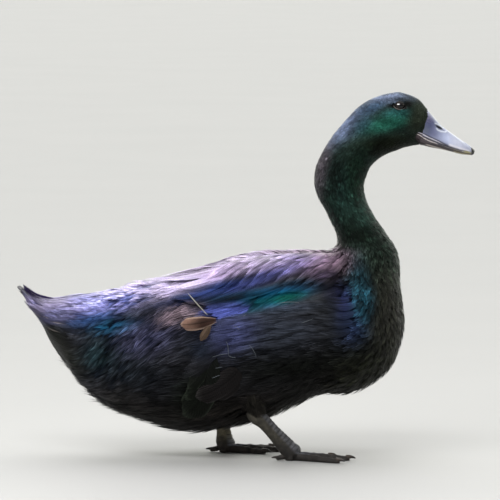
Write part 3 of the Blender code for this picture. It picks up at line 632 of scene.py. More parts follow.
class Foot:
    """Rays fan out from the ankle along the toes and the webs between them."""

    def __init__(self, leg):
        self.side = leg["side"]
        self.centre = np.array([leg["ankle"][0], leg["ankle"][1]])
        self.turn = math.radians(leg["turn"]) * self.side

    def direction(self, degrees):
        a = math.radians(degrees) * self.side + self.turn
        return np.array([math.cos(a), math.sin(a)])

    def rays(self):
        """(kind, across, start, end, height at start, height at end) from the inner to the outer side."""
        rays = []
        for i, (name, angle, length, root, tip, height) in enumerate(TOES):
            d, n = self.direction(angle), self.direction(angle + 90.0)
            base = self.centre + d * ROOT_RADIUS
            for o in np.linspace(-1, 1, 11):
                back = 3.4 * abs(o) ** 2.2
                tall = max(1 - 0.86 * o * o, 0.0) ** 0.5
                start = base + n * o * root * ROOT_SQUEEZE
                end = self.centre + d * (length - back) + n * o * tip
                rays.append(("toe", o, start, end, max(height * tall * 1.35, WEB_THICK), max(height * tall * 0.74, WEB_THICK * 0.6)))
            if i + 1 < len(TOES):
                _, angle2, length2, root2, tip2, _ = TOES[i + 1]
                d2, n2 = self.direction(angle2), self.direction(angle2 + 90.0)
                a_end = self.centre + d * (length - 3.4) + n * tip
                b_end = self.centre + d2 * (length2 - 3.4) - n2 * tip2
                a_start = base + n * root * ROOT_SQUEEZE
                b_start = self.centre + d2 * ROOT_RADIUS - n2 * root2 * ROOT_SQUEEZE
                for g in (0.04, 0.12, 0.22, 0.33, 0.44, 0.56, 0.67, 0.78, 0.88, 0.96):
                    start = a_start + (b_start - a_start) * g
                    end = a_end + (b_end - a_end) * g
                    inward = end - self.centre
                    pull = WEB_SAG * (1 - (2 * g - 1) ** 2) ** 0.7 + 1.2
                    end = end - inward / np.linalg.norm(inward) * pull
                    rays.append(("web", 2 * g - 1, start, end, WEB_THICK + 2.0, WEB_THICK * 0.8))
        return rays

    def mesh(self, name):
        rays = self.rays()
        count = len(rays)
        rows = 34
        top, low = [], []
        for k, (kind, o, start, end, high0, high1) in enumerate(rays):
            u = k / (count - 1)
            a = PI * (u - 0.5) * self.side + self.turn
            heel = self.centre + 6.8 * np.array([-math.cos(a), math.sin(a)])
            first = high0 if high0 > 5 else 5.4
            mid = self.centre + (heel - self.centre) * 0.55 + (start - self.centre) * 0.12
            column = []
            for w in np.linspace(0, 1, 5)[:-1]:
                p = heel + (mid - heel) * w
                column.append((p[0], p[1], 3.0 + 4.6 * math.sin(w * PI / 2)))
            for w in np.linspace(0, 1, 4)[:-1]:
                p = mid + (start - mid) * w
                column.append((p[0], p[1], 7.6 + (first - 7.6) * w))
            reach = np.linalg.norm(end - start)
            for j in range(rows + 1):
                t = j / rows
                p = start + (end - start) * t
                z = high1 + (first - high1) * (1 - t) ** (1.6 if kind == "toe" else 5.0)
                if kind == "toe":
                    z += 0.75 * math.exp(-(((t - 0.40) / 0.07) ** 2)) + 0.6 * math.exp(-(((t - 0.70) / 0.06) ** 2))
                    z -= 0.24 * (1 - o * o) * max(0.0, math.cos(2 * PI * t * reach / 2.7)) ** 6
                    z *= 1 - 0.35 * max(0.0, (t - 0.93) / 0.07) ** 2 * 1.0
                else:
                    z += 0.30 * math.sin(PI * t) * math.cos(o * 7.0) + 0.10 * math.sin(t * reach * 0.9 + o * 3.0)
                column.append((p[0], p[1], max(z, 0.55)))
            top.append(column)
            low.append([(p[0], p[1], 0.0) for p in column])
        top, low = np.array(top), np.array(low)
        n = top.shape[1]
        bm = bmesh.new()
        tv = [[bm.verts.new(p * MM) for p in col] for col in top]
        lv = [[bm.verts.new(p * MM) for p in col] for col in low]
        for k in range(count - 1):
            for j in range(n - 1):
                bm.faces.new((tv[k][j], tv[k + 1][j], tv[k + 1][j + 1], tv[k][j + 1]))
                bm.faces.new((lv[k][j], lv[k][j + 1], lv[k + 1][j + 1], lv[k + 1][j]))
            for j in (0, n - 1):
                bm.faces.new((tv[k][j], tv[k + 1][j], lv[k + 1][j], lv[k][j]))
        for k in (0, count - 1):
            for j in range(n - 1):
                bm.faces.new((tv[k][j], tv[k][j + 1], lv[k][j + 1], lv[k][j]))
        bmesh.ops.recalc_face_normals(bm, faces=bm.faces)
        mesh = bpy.data.meshes.new(name)
        bm.to_mesh(mesh)
        bm.free()
        return mesh


def leg_pieces(tag, leg):
    """The closed solids of one leg's flesh: thigh, shank with its scutes, foot, hind toe."""
    f = Foot(leg)
    hock, ankle = np.array(leg["hock"]), np.array(leg["ankle"])
    top, low = np.array(leg["cuff_top"]), np.array(leg["cuff_end"])
    run = unit(ankle - hock)
    made = []
    # thigh, inside the cuff of feathers
    r0, r1 = leg["cuff_r"]
    t = np.linspace(-0.25, 1.0, 26)
    path = top + (low - top) * t[:, None]
    r = (r0 + (r1 - r0) * np.clip(t, 0, 1) ** 0.9) * 0.62
    made.append(ring_mesh(f"thigh_{tag}_flesh", tube(path, np.stack([r, r * 0.86], -1), 32, (0, 1, 0))))
    # shank, from inside the cuff to the ankle's pad
    start = low - run * 9.0
    length = float(np.dot(ankle - start, run))
    n = 130
    d = np.linspace(0, length, n)
    path = start + run * d[:, None]
    path[-18:, 0] += np.linspace(0, 1, 18) ** 2 * 2.5
    path[-18:, 2] -= np.linspace(0, 1, 18) ** 2 * 3.0
    to_hock = (path - hock) @ run
    deep = 7.9 + 1.2 * np.exp(-((to_hock / 8.0) ** 2)) + 2.0 * smooth(d / length, 0.45, 1.0) - 0.3 * np.sin(PI * d / length)
    wide = 5.1 + 1.5 * np.exp(-((to_hock / 8.0) ** 2)) + 1.9 * smooth(d / length, 0.6, 1.0)
    path = path - np.array([1.6, 0, 0.8]) * np.exp(-((to_hock / 7.0) ** 2))[:, None] - np.array([run[2] * -0.8, 0, run[0] * 0.8])
    sides = 56
    rings = tube(path, np.stack([deep, wide], -1), sides, (0, 1, 0))
    k = np.arange(sides) * 2 * PI / sides
    centre = path[:, None]
    out = unit(rings - centre)
    front = out @ np.array([1.0, 0.0, 0.0])
    # broad plates down the front, small round scales elsewhere
    plate = np.abs(np.cos(PI * (d[:, None] / 4.6 + 0.10 * np.cos(k)[None]))) ** 8
    scale = 0.5 + 0.5 * np.cos(2 * PI * d[:, None] / 2.6 + PI * (np.floor(k * 12 / PI)[None] % 2)) * np.cos(24 * k)[None]
    w = np.clip((front - 0.15) / 0.25, 0, 1)
    carve = -0.42 * plate * w - 0.26 * scale ** 2 * (1 - w)
    rings = rings + out * carve[..., None]
    made.append(ring_mesh(f"shank_{tag}_flesh", rings))
    made.append(f.mesh(f"foot_{tag}_flesh"))
    # rounded ankle
    t = np.linspace(-0.985, 0.985, 28)
    mid = ankle + np.array([0.6, 0, 0.2])
    r = np.sqrt(1 - t * t)
    made.append(ring_mesh(f"ankle_{tag}_flesh", on_floor(tube(mid + run * (8.6 * t)[:, None], np.stack([9.3 * r, 7.6 * r], -1), 36, (0, 1, 0)), 0.4)))
    # hind toe
    back = f.direction(168.0)
    t = np.linspace(0, 1, 40)
    xy = f.centre + back * (1.0 + 16.0 * t)[:, None]
    z = 6.9 - 4.4 * np.sin(PI * t * 0.5)
    r = np.interp(t, [0, 0.15, 0.6, 0.92, 1.0], [3.4, 3.0, 2.9, 2.5, 1.5]) - 0.16 * np.maximum(0, np.cos(2 * PI * t * 15 / 2.4)) ** 4
    made.append(ring_mesh(f"hind_{tag}_flesh", on_floor(tube(np.column_stack([xy, z]), np.stack([r, r * 0.92], -1), 24, (-back[1], back[0], 0.0)))))
    return made


def claw(base, heading, drop, length=10.0, radius=2.2, grow=0.0):
    heading = np.array([heading[0], heading[1], 0.0])
    n = 16
    point = np.array(base, float)
    path, sizes = [], []
    for i in range(n + 1):
        t = i / n
        path.append(point.copy())
        r = radius * (1 - t) ** 0.6 * (1 - 0.10 * t) + 0.18
        sizes.append((r * 1.1, r * 0.8))
        pitch = math.radians(-14.0 + drop * t)
        point = point + (heading * math.cos(pitch) - np.array([0, 0, 1.0]) * math.sin(pitch)) * length / n
    return on_floor(tube(path, sizes, 20, (-heading[1], heading[0], 0.0)), 0.12)


def union_all(base, others):
    """One closed mesh from overlapping closed meshes."""
    o = bpy.data.objects.new("union_base", base)
    bpy.context.scene.collection.objects.link(o)
    helpers = []
    for m in others:
        h = bpy.data.objects.new(m.name, m)
        bpy.context.scene.collection.objects.link(h)
        helpers.append(h)
        mod = o.modifiers.new(m.name, "BOOLEAN")
        mod.operation, mod.object, mod.solver = "UNION", h, "MANIFOLD"
    bpy.context.view_layer.update()
    graph = bpy.context.evaluated_depsgraph_get()
    mesh = bpy.data.meshes.new_from_object(o.evaluated_get(graph), preserve_all_data_layers=False, depsgraph=graph)
    for h in [o, *helpers]:
        bpy.data.objects.remove(h, do_unlink=True)
    return mesh


# ---------------------------------------------------------------------------
# Feathers

class Coat:
    """Vanes gathered into one piece, each with its colour, its place for baking and its own across-and-along map."""

    def __init__(self, name):
        self.name = name
        self.verts, self.faces, self.tint, self.bake, self.vane = [], [], [], [], []
        self.count = 0

    def add(self, verts, faces, tint, bake, vane):
        self.verts.append(verts.reshape(-1, 3))
        self.faces.append(faces.reshape(-1, 4) + self.count)
        self.tint.append(tint.reshape(-1, 3))
        self.bake.append(bake.reshape(-1, 2))
        self.vane.append(vane.reshape(-1, 2))
        self.count += verts.reshape(-1, 3).shape[0]

    def triangles(self):
        return 2 * sum(len(f) for f in self.faces)

    def make(self, mat, slot, body_name="root"):
        mesh = fill_mesh(self.name, np.concatenate(self.verts), np.concatenate(self.faces))
        put_colour(mesh, "tint", np.concatenate(self.tint))
        put_uv(mesh, "OFBake", np.concatenate(self.bake))
        put_uv(mesh, "vane", np.concatenate(self.vane))
        mesh.uv_layers.active_index = 0
        o = add_object(self.name, mesh, mat)
        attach(o, body_name)
        print(self.name, 2 * len(mesh.polygons))
        return o


SHAPES = {
    "round": ([0, 0.12, 0.35, 0.6, 0.82, 1.0], [0.30, 0.55, 0.92, 1.0, 0.92, 0.62]),
    "lance": ([0, 0.10, 0.3, 0.55, 0.8, 0.93, 1.0], [0.30, 0.6, 0.95, 1.0, 0.72, 0.42, 0.16]),
    "blade": ([0, 0.06, 0.2, 0.5, 0.8, 0.94, 1.0], [0.35, 0.75, 0.95, 1.0, 0.95, 0.7, 0.4]),
}


def bake_place(s0, t0, u, v, span=TOTAL):
    """A small patch of the bake map at the root's place on the unrolled skin."""
    x = 0.01 + 0.98 * np.clip(s0 / span, 0, 1)
    y = 0.01 + 0.98 * (np.mod(t0, 2 * PI) / (2 * PI))
    return np.stack(np.broadcast_arrays(x + (u - 0.5) * 0.003, y + v * 0.0015), -1)


def vane_faces(n, m, k):
    """Quads of n vanes of m strips of k lengths, each strip two points wide."""
    i, j, r = np.meshgrid(np.arange(n), np.arange(m), np.arange(k), indexing="ij")
    a = ((i * m + j) * (k + 1) + r) * 2
    return np.stack([a, a + 1, a + 3, a + 2], -1).reshape(-1, 4)


def grow(coat, field, lines, half, low, high, rng, strips=6, shape="round", camber=0.08, curl=0.0, fray=0.2,
         blunt=0.3, split=0.55, fan=0.0, tilt=6.0, tone=0.18, streak=0.35, colour=None, rise=2.2, rim=1.0, span=TOTAL,
         point=0.12, dark_root=0.5, local=False, paint=None, roll=0.0, gain=1.0, edge=0.0, root_at=(0.15, 0.6)):
    """Vanes along lines of places (s, t and the sideways steps of each), from low to high over the outer form."""
    S, T, BS, BT = lines
    n, kk = S.shape
    K, M = kk - 1, strips
    half, low, high = (np.broadcast_to(np.asarray(x, float), (n,)) for x in (half, low, high))
    j = np.arange(M)
    vc = -1 + 2 * (j + 0.5) / M
    end = 1 - blunt * vc**2 - fray * rng.random((n, M)) * (0.35 + 0.65 * np.abs(vc))
    end = np.clip(end, 0.35, 1.0)
    w = np.arange(K + 1) / K
    u = end[:, :, None] * w
    idx = u * K
    i0 = np.minimum(idx.astype(int), K - 1)
    fr = idx - i0
    n_i = np.arange(n)[:, None, None]

    def at(a):
        return a[n_i, i0] * (1 - fr) + a[n_i, i0 + 1] * fr

    s, t, bs, bt = at(S), at(T), at(BS), at(BT)
    width = np.interp(u, *SHAPES[shape]) * half[:, None, None]
    q = 1 - (1 - point) * smooth(w, split, 1.0)
    stray = rng.normal(0, 0.22 / M, (n, M))[:, :, None] * u
    e = np.array([-1.0, 1.0])
    v = (vc[None, :, None] * (1 + fan * u) + stray)[..., None] + e * (1.08 / M) * q[None, None, :, None]
    lean = np.tan(np.radians(rng.normal(0, tilt, (n, M))))[:, :, None, None]
    ride_up = rng.normal(0, 0.10, (n, M))[:, :, None, None]
    uu = u[..., None]
    h = low[:, None, None, None] + (high - low)[:, None, None, None] * (1 - (1 - uu) ** rise)
    h = h + camber * half[:, None, None, None] * (0.5 - v**2) * smooth(uu, 0.0, 0.35)
    h = h + curl * uu**3 + ride_up * uu * np.minimum(1.0, half[:, None, None, None] / 4)
    keelward = (np.sign(BT[:, K // 2]) * np.where(np.mod(T[:, K // 2], 2 * PI) < PI, 1.0, -1.0))[:, None, None, None]
    h = h + roll * half[:, None, None, None] * v * keelward * smooth(uu, 0.0, 0.5)
    h = h + lean * e * (width[..., None] / M) * q[None, None, :, None]
    off = v * width[..., None]
    sv = s[..., None] + bs[..., None] * off
    tv = t[..., None] + bt[..., None] * off
    g = field.look(sv, tv, 6)
    verts = g[..., :3] + g[..., 3:6] * h[..., None]
    mid = max(int(K * 0.6), 1)
    pm = field.look(S[:, mid], T[:, mid], 6)[:, :3]
    base = plumage_colour(pm, S[:, mid]) if colour is None else np.broadcast_to(np.asarray(colour, float), (n, 3))
    gain = np.exp(rng.normal(0, tone, (n, 1))) * (np.reshape(gain, (n, -1)) if np.size(gain) > 1 else gain)
    if local:
        base = plumage_colour(g[..., :3], sv) * gain[:, None, None, None]
    else:
        base = (base * gain)[:, None, None, None, :]
    if paint is not None:
        base = paint(base, v, np.broadcast_to(uu, v.shape))
    uneven = rng.normal(0, streak, (n, M))
    c = base * np.exp(np.where(uneven > 0, 0.5 * uneven, uneven))[:, :, None, None, None]
    # painted light on each vane: dark_root darkens the root end that lies under the feather above as painted shadow,
    # rim lightens the edges and tip as painted highlight, and edge darkens the keelward half as painted shade of the
    # lower side
    shade = (dark_root + (1 - dark_root) * smooth(uu, *root_at)) * (1 + (rim - 1) * smooth(np.maximum(np.abs(v), uu), 0.8, 1.0))
    shade = shade * (1 - edge * smooth(v * keelward, 0.0, 1.0))
    c = c * shade[..., None]
    bright = c @ np.array([0.25, 0.6, 0.15])
    c = c / ((1 + (bright / 0.90) ** 4) ** 0.25)[..., None]
    shape_ = verts.shape[:-1]
    bake = bake_place(S[:, 0][:, None, None, None], T[:, 0][:, None, None, None], np.broadcast_to(uu, shape_), np.broadcast_to(v, shape_), span)
    vane = np.stack([v * 0.5 + 0.5, np.broadcast_to(uu, shape_)], -1)
    coat.add(verts, vane_faces(n, M, K), c, bake, vane)


def walk(field, s0, t0, length, rows, yaw=0.0, bend=0.0, lie=flow, keep=None):
    """Lines that follow the lie of the coat from the places (s0, t0)."""
    s, t = np.array(s0, float), np.array(t0, float)
    n = len(s)
    yaw = np.broadcast_to(np.asarray(yaw, float), (n,))
    bend = np.broadcast_to(np.asarray(bend, float), (n,))
    length = np.broadcast_to(np.asarray(length, float), (n,))
    out = [np.zeros((n, rows + 1)) for _ in range(4)]
    for k in range(rows + 1):
        q = field.look(s, t, 12)
        p, nn, ps, pt = q[:, :3], unit(q[:, 3:6]), q[:, 6:9], q[:, 9:12]
        d = lie(s, t, p, nn, ps, pt, yaw + bend * k / rows)
        b = np.cross(nn, d)
        bs, bt = to_turns(ps, pt, b)
        out[0][:, k], out[1][:, k], out[2][:, k], out[3][:, k] = s, t, bs, bt
        if k < rows:
            step = (length / rows)[:, None]
            a, c = to_turns(ps, pt, d * step)
            s, t = s + np.clip(a, -3 * step[:, 0], 3 * step[:, 0]), t + np.clip(c, -0.6, 0.6)
    return out


def straight(field, s0, t0, s1, t1, rows, bow=0.0):
    """Lines from (s0, t0) to (s1, t1), bowed sideways by bow times their length."""
    w = np.linspace(0, 1, rows + 1)[None]
    s0, t0, s1, t1 = (np.asarray(x, float)[:, None] for x in (s0, t0, s1, t1))
    S, T = s0 + (s1 - s0) * w, t0 + (t1 - t0) * w
    p = field.look(S, T, 12)
    nn, ps, pt = unit(p[..., 3:6]), p[..., 6:9], p[..., 9:12]
    d = unit(np.gradient(p[..., :3], axis=1))
    b = unit(np.cross(nn, d))
    bs, bt = to_turns(ps, pt, b)
    length = np.linalg.norm(np.diff(p[..., :3], axis=1), axis=-1).sum(1)[:, None]
    hump = np.asarray(bow, float).reshape(-1, 1) * length * 4 * w * (1 - w)
    S, T = S + bs * hump, T + bt * hump
    p = field.look(S, T, 12)
    nn, ps, pt = unit(p[..., 3:6]), p[..., 6:9], p[..., 9:12]
    d = unit(np.gradient(p[..., :3], axis=1))
    b = unit(np.cross(nn, d))
    bs, bt = to_turns(ps, pt, b)
    return [S, T, bs, bt]


def scatter(field, s_from, s_to, gap_s, gap_t, rng):
    """Roots set out in broken rows so that each has about gap_s by gap_t of the surface to itself."""
    cols = field.cols
    t_axis = np.arange(cols) * field.dt
    acc = None
    found = []
    s = s_to
    while s > s_from:
        q = field.look(np.full(cols, s), t_axis, 12)
        ms = np.linalg.norm(q[:, 6:9], axis=-1)
        mt = np.linalg.norm(q[:, 9:12], axis=-1) * field.dt
        gs, gt = gap_s(s, t_axis, q), gap_t(s, t_axis, q)
        if acc is None:
            acc = rng.random(cols)
        step = float((gs / ms).min()) / 3.5
        acc = acc + step * ms / gs
        ready = np.flatnonzero(acc >= 1.0)
        if len(ready):
            start = rng.integers(len(ready))
            for j in np.roll(ready, -start):
                if acc[j] < 1.0:
                    continue
                r = max(int(round(gt[j] / mt[j] / 2)), 1)
                cells = np.arange(j - r, j + r + 1) % cols
                acc[cells] -= 1.0
                found.append((s + rng.normal(0, 0.08) * gs[j], t_axis[j] + rng.normal(0, 0.10) * gt[j] / mt[j] * field.dt))
        s -= step
    return np.array(found)


# lengths along the body and what grows there: gap along, gap across, vane length, half width
FEATHER_AT = np.array([0, 41, 75, 120, 160, 200, 300, 345, 380, 415, 440, 470, 500, 560, 590, 615, 640, TOTAL])
GAP_S = np.array([4.2, 4.2, 4.3, 4.6, 5.6, 7.2, 7.4, 6.4, 5.4, 4.4, 3.6, 3.0, 2.6, 2.1, 1.7, 1.5, 1.25, 0.95])
GAP_T = np.array([2.8, 2.7, 2.7, 2.9, 3.9, 5.2, 5.3, 5.0, 4.4, 3.7, 3.0, 2.4, 2.0, 1.7, 1.4, 1.25, 1.05, 0.8])
LONG = np.array([12, 16, 17, 19, 24, 30, 29, 23, 17, 14, 11.5, 10, 8.6, 7.2, 5.8, 4.8, 3.6, 2.4])
HALF = np.array([2.4, 2.5, 2.4, 2.6, 3.9, 5.7, 5.8, 5.2, 4.6, 3.9, 3.1, 2.5, 2.1, 1.75, 1.45, 1.25, 1.0, 0.75])


def by_s(values):
    return lambda s, t, q: np.full(len(t), np.interp(s, FEATHER_AT, values))


def place_of(u, v):
    """(s, turn) on the right side of the body at a place of the side view."""
    gu, gv = side_view(body.p)
    ok = body.p[..., 1] < 0
    d = np.where(ok, (gu - u) ** 2 + (gv - v) ** 2, 1e9)
    i, j = np.unravel_index(np.argmin(d), d.shape)
    return body.s0 + i * body.ds, j * body.dt


# ---------------------------------------------------------------------------
# Materials

def nodes_of(name):
    m = bpy.data.materials.new(name)
    m.use_nodes = True
    nt = m.node_tree
    return m, nt, nt.nodes["Principled BSDF"]


def link(nt, a, b):
    nt.links.new(a, b)


def node(nt, kind, **inputs):
    n = nt.nodes.new(kind)
    for k, v in inputs.items():
        if k.startswith("_"):
            setattr(n, k[1:], v)
        else:
            n.inputs[k.replace("__", " ")].default_value = v
    return n


def math_node(nt, op, a, b=None):
    n = nt.nodes.new("ShaderNodeMath")
    n.operation = op
    for i, x in enumerate((a, b)):
        if x is None:
            continue
        if hasattr(x, "is_linked") or hasattr(x, "links"):
            nt.links.new(x, n.inputs[i])
        else:
            n.inputs[i].default_value = x
    return n.outputs[0]


def mul_colour(nt, colour, factor):
    """colour scaled by a number socket."""
    n = nt.nodes.new("ShaderNodeVectorMath")
    n.operation = "SCALE"
    nt.links.new(colour, n.inputs[0])
    nt.links.new(factor, n.inputs["Scale"])
    return n.outputs[0]


def plumage_material(name, barbs, metallic, roughness, bump, gloss_noise=0.10):
    """Sheen colour from the coat's own colours, crossed by fine barbs that slant out from the shaft."""
    m, nt, b = nodes_of(name)
    tint = node(nt, "ShaderNodeAttribute", _attribute_name="tint")
    uv = node(nt, "ShaderNodeUVMap", _uv_map="vane")
    split = node(nt, "ShaderNodeSeparateXYZ")
    link(nt, uv.outputs[0], split.inputs[0])
    across = math_node(nt, "ABSOLUTE", math_node(nt, "SUBTRACT", split.outputs[0], 0.5))
    phase = math_node(nt, "SUBTRACT", math_node(nt, "MULTIPLY", split.outputs[1], barbs), math_node(nt, "MULTIPLY", across, barbs * 0.55))
    wave = math_node(nt, "SINE", math_node(nt, "MULTIPLY", phase, 2 * PI))
    coord = node(nt, "ShaderNodeTexCoord")
    noise = node(nt, "ShaderNodeTexNoise", Scale=420.0, Detail=3.0, Roughness=0.6)
    link(nt, coord.outputs["Object"], noise.inputs["Vector"])
    shaft = math_node(nt, "LESS_THAN", across, 0.035)
    # barbs and grain vary the colour a little; the shaft is darker
    grain = math_node(nt, "MULTIPLY_ADD", noise.outputs[0], 0.9)
    grain.node.inputs[2].default_value = 0.55
    lines = math_node(nt, "MULTIPLY_ADD", wave, 0.10)
    lines.node.inputs[2].default_value = 1.0
    gain = math_node(nt, "MULTIPLY", grain, lines)
    gain = math_node(nt, "MULTIPLY", gain, math_node(nt, "SUBTRACT", 1.0, math_node(nt, "MULTIPLY", shaft, 0.45)))
    link(nt, mul_colour(nt, tint.outputs["Color"], gain), b.inputs["Base Color"])
    rough = math_node(nt, "MULTIPLY_ADD", noise.outputs[0], gloss_noise * 2)
    rough.node.inputs[2].default_value = roughness - gloss_noise
    link(nt, rough, b.inputs["Roughness"])
    b.inputs["Metallic"].default_value = metallic
    b.inputs["Specular IOR Level"].default_value = 0.2
    b.inputs["Sheen Weight"].default_value = 0.05
    b.inputs["Sheen Roughness"].default_value = 0.35
    bp = node(nt, "ShaderNodeBump", Strength=bump, Distance=0.0004)
    link(nt, math_node(nt, "ADD", wave, math_node(nt, "MULTIPLY", noise.outputs[0], 1.2)), bp.inputs["Height"])
    link(nt, bp.outputs[0], b.inputs["Normal"])
    return m


def tinted_material(name, roughness, metallic=0.0, scale=600.0, depth=0.0003, strength=0.5, spread=0.8, cells=0.0, coat=0.0, spec=0.4):
    """Skin, horn and scales: the piece's own colours, mottled and finely wrinkled."""
    m, nt, b = nodes_of(name)
    tint = node(nt, "ShaderNodeAttribute", _attribute_name="tint")
    coord = node(nt, "ShaderNodeTexCoord")
    noise = node(nt, "ShaderNodeTexNoise", Scale=scale, Detail=4.0, Roughness=0.62)
    link(nt, coord.outputs["Object"], noise.inputs["Vector"])
    grain = math_node(nt, "MULTIPLY_ADD", noise.outputs[0], spread)
    grain.node.inputs[2].default_value = 1 - spread / 2
    height = noise.outputs[0]
    if cells:
        vor = node(nt, "ShaderNodeTexVoronoi", Scale=cells, _feature="DISTANCE_TO_EDGE")
        link(nt, coord.outputs["Object"], vor.inputs["Vector"])
        edge = math_node(nt, "MINIMUM", math_node(nt, "MULTIPLY", vor.outputs["Distance"], 5.0), 1.0)
        height = math_node(nt, "ADD", edge, math_node(nt, "MULTIPLY", noise.outputs[0], 0.4))
        grain = math_node(nt, "MULTIPLY", grain, math_node(nt, "MULTIPLY_ADD", edge, 0.45))
        grain.node.inputs[1].links[0].from_node.inputs[2].default_value = 0.6
    link(nt, mul_colour(nt, tint.outputs["Color"], grain), b.inputs["Base Color"])
    rough = math_node(nt, "MULTIPLY_ADD", noise.outputs[0], 0.2)
    rough.node.inputs[2].default_value = roughness - 0.1
    link(nt, rough, b.inputs["Roughness"])
    b.inputs["Metallic"].default_value = metallic
    b.inputs["Specular IOR Level"].default_value = spec
    b.inputs["Coat Weight"].default_value = coat
    b.inputs["Coat Roughness"].default_value = 0.25
    bp = node(nt, "ShaderNodeBump", Strength=strength, Distance=depth)
    link(nt, height, bp.inputs["Height"])
    link(nt, bp.outputs[0], b.inputs["Normal"])
    return m


MAT_HEAD = plumage_material("head_plumage", 8, 0.72, 0.46, 0.25)
MAT_NECK = plumage_material("neck_plumage", 10, 0.72, 0.44, 0.3)
MAT_BODY = plumage_material("body_plumage", 18, 0.70, 0.53, 0.35)
MAT_WING = plumage_material("wing_plumage", 46, 0.80, 0.36, 0.35)
MAT_TAIL = plumage_material("tail_plumage", 46, 0.74, 0.40, 0.35)
MAT_SKIN = tinted_material("skin", 0.62, 0.25, 500.0, 0.0004, 0.5)
MAT_LEG = tinted_material("leg_scales", 0.58, 0.0, 700.0, 0.0004, 0.6, 0.9, 900.0)
MAT_BILL = tinted_material("bill_horn", 0.40, 0.0, 260.0, 0.00025, 0.35, 0.35, 0.0, 0.15)
MAT_CLAW = tinted_material("claw_horn", 0.36, 0.0, 500.0, 0.0002, 0.4, 0.5, 0.0, 0.2)


# ---------------------------------------------------------------------------
# Skin piece

skin_mesh = build_body_skin()
flesh = []
for tag, leg in LEGS.items():
    flesh += leg_pieces(tag, leg)
skin_mesh = union_all(skin_mesh, flesh)
skin_mesh.name = "skin"
sp = coords(skin_mesh)
print("skin", len(skin_mesh.polygons), "faces", sp.min(0), sp.max(0))

# nearest place of the body field, for the coat's ground colour on the skin
from mathutils.kdtree import KDTree
coarse = body.p[::8, ::8].reshape(-1, 3)
coarse_s = np.repeat(np.linspace(0, TOTAL, NS)[::8], body.p[::8, ::8].shape[1])
kd = KDTree(len(coarse))
for i, p in enumerate(coarse):
    kd.insert(p, i)
kd.balance()
skin_s = np.array([coarse_s[kd.find(p)[1]] for p in sp])
tint = plumage_colour(sp, skin_s) * 0.55


def leg_colour(p):
    """Dark grey-brown scales, nearly black on the webs and toes' undersides."""
    high = smooth(p[:, 2], 8, 30)
    c = srgb(40, 36, 33) * (1 - high)[:, None] + srgb(70, 66, 56) * high[:, None]
    plate = np.ones(len(p))
    blue = np.zeros(len(p))
    for leg in LEGS.values():
        hock, ankle = np.array(leg["hock"]), np.array(leg["ankle"])
        run = unit(ankle - hock)
        near = np.abs(p[:, 1] - (hock[1] + ankle[1]) / 2) < 14
        d = (p - hock) @ run
        axis = hock + run * d[:, None]
        ahead = unit(p - axis) @ unit(np.array([-run[2], 0, run[0]]))
        lines = np.abs(np.cos(PI * (d / 4.6 + 0.1))) ** 10
        front = smooth(ahead, 0.1, 0.5)
        fine = np.abs(np.sin(d * 2.4)) ** 4
        k = near & (p[:, 2] > 7)
        plate = np.where(k, 1 - 0.65 * lines * front - 0.35 * fine * (1 - front), plate)
        blue = np.where(k, front, blue)
    c = c * (1 - 0.55 * blue[:, None]) + srgb(98, 100, 108) * 0.55 * blue[:, None]
    # the far leg is painted lighter and given a pale band low on its shank: painted light where that leg is lit
    far = smooth(p[:, 1], 5, 12)
    band = far * np.exp(-(((p[:, 2] - 22) / 7.0) ** 2))
    c = c * (1 + 1.9 * far[:, None]) * (1 - band[:, None]) + srgb(142, 134, 112) * band[:, None]
    return c * (plate * np.exp(0.22 * clumps(p, 7, 3, 1.0)))[:, None]


in_leg = np.zeros(len(sp), bool)
for leg in LEGS.values():
    a, b = np.array(leg["cuff_end"]), np.array(leg["ankle"])
    w = np.clip(((sp - a) @ (b - a)) / ((b - a) @ (b - a)), 0, 1)
    d = np.linalg.norm(sp - (a + (b - a) * w[:, None]), axis=1)
    in_leg |= (d < 13) & (sp[:, 2] < a[2] + 4)
in_leg |= sp[:, 2] < 14
tint[in_leg] = leg_colour(sp[in_leg])
# rims of the lids
for side in (1, -1):
    ring = (sp[:, 1] * side > 8) & (np.hypot(sp[:, 0] - EYE_PLACE[0], sp[:, 2] - EYE_PLACE[2]) < 13)
    reach = lid_reach(sp[:, 0], sp[:, 2])
    dx, dz = sp[:, 0] - EYE_PLACE[0], sp[:, 2] - EYE_PLACE[2]
    below = smooth(-(-dx * math.sin(LID_TILT) + dz * math.cos(LID_TILT)), 0.2, 1.6)
    rim = ring * np.exp(-(((reach - 1.06) / 0.062) ** 2))
    dark = ring * smooth(1.8 - reach, 0.0, 0.35)
    tint = tint * (1 - 0.92 * dark[:, None]) + srgb(15, 16, 16) * 0.92 * dark[:, None]
    pale = (rim * below)[:, None]
    tint = tint * (1 - pale) + srgb(148, 148, 144) * pale
    upper = (rim * (1 - below) * 0.6)[:, None]
    tint = tint * (1 - upper) + srgb(40, 40, 39) * upper
# bare skin at the corner of the mouth
gu, gv = side_view(sp)
bare = (sp[:, 0] > 170) & (sp[:, 2] > 300) & (np.abs(sp[:, 1]) > 2.0)
bare = bare * smooth(gu - np.interp(gv, [131.5, 134, 136, 139, 142, 144.5, 147], [432, 417.5, 415.8, 414.8, 416.4, 421.5, 432]), -0.6, 0.6)
fold = 0.72 + 0.28 * np.sin((gv - 0.55 * (gu - 416)) * 3.1 + 0.5)
low_gape = smooth(gv - 0.12 * (gu - 416), 136.5, 140.5)[:, None]
bare_tint = srgb(104, 92, 98) * (1 - low_gape) + srgb(50, 42, 42) * low_gape
tint = tint * (1 - bare[:, None]) + bare_tint * (bare * fold)[:, None]
put_colour(skin_mesh, "tint", tint)
faces_leg = np.zeros(len(skin_mesh.polygons), np.int32)
lead = np.array([p.vertices[0] for p in skin_mesh.polygons])
faces_leg[in_leg[lead]] = 1
for p in skin_mesh.polygons:
    p.use_smooth = True
skin_mesh.materials.clear()
skin = add_object("skin", skin_mesh, [MAT_SKIN, MAT_LEG])
skin_mesh.polygons.foreach_set("material_index", faces_leg)
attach(skin, "root")
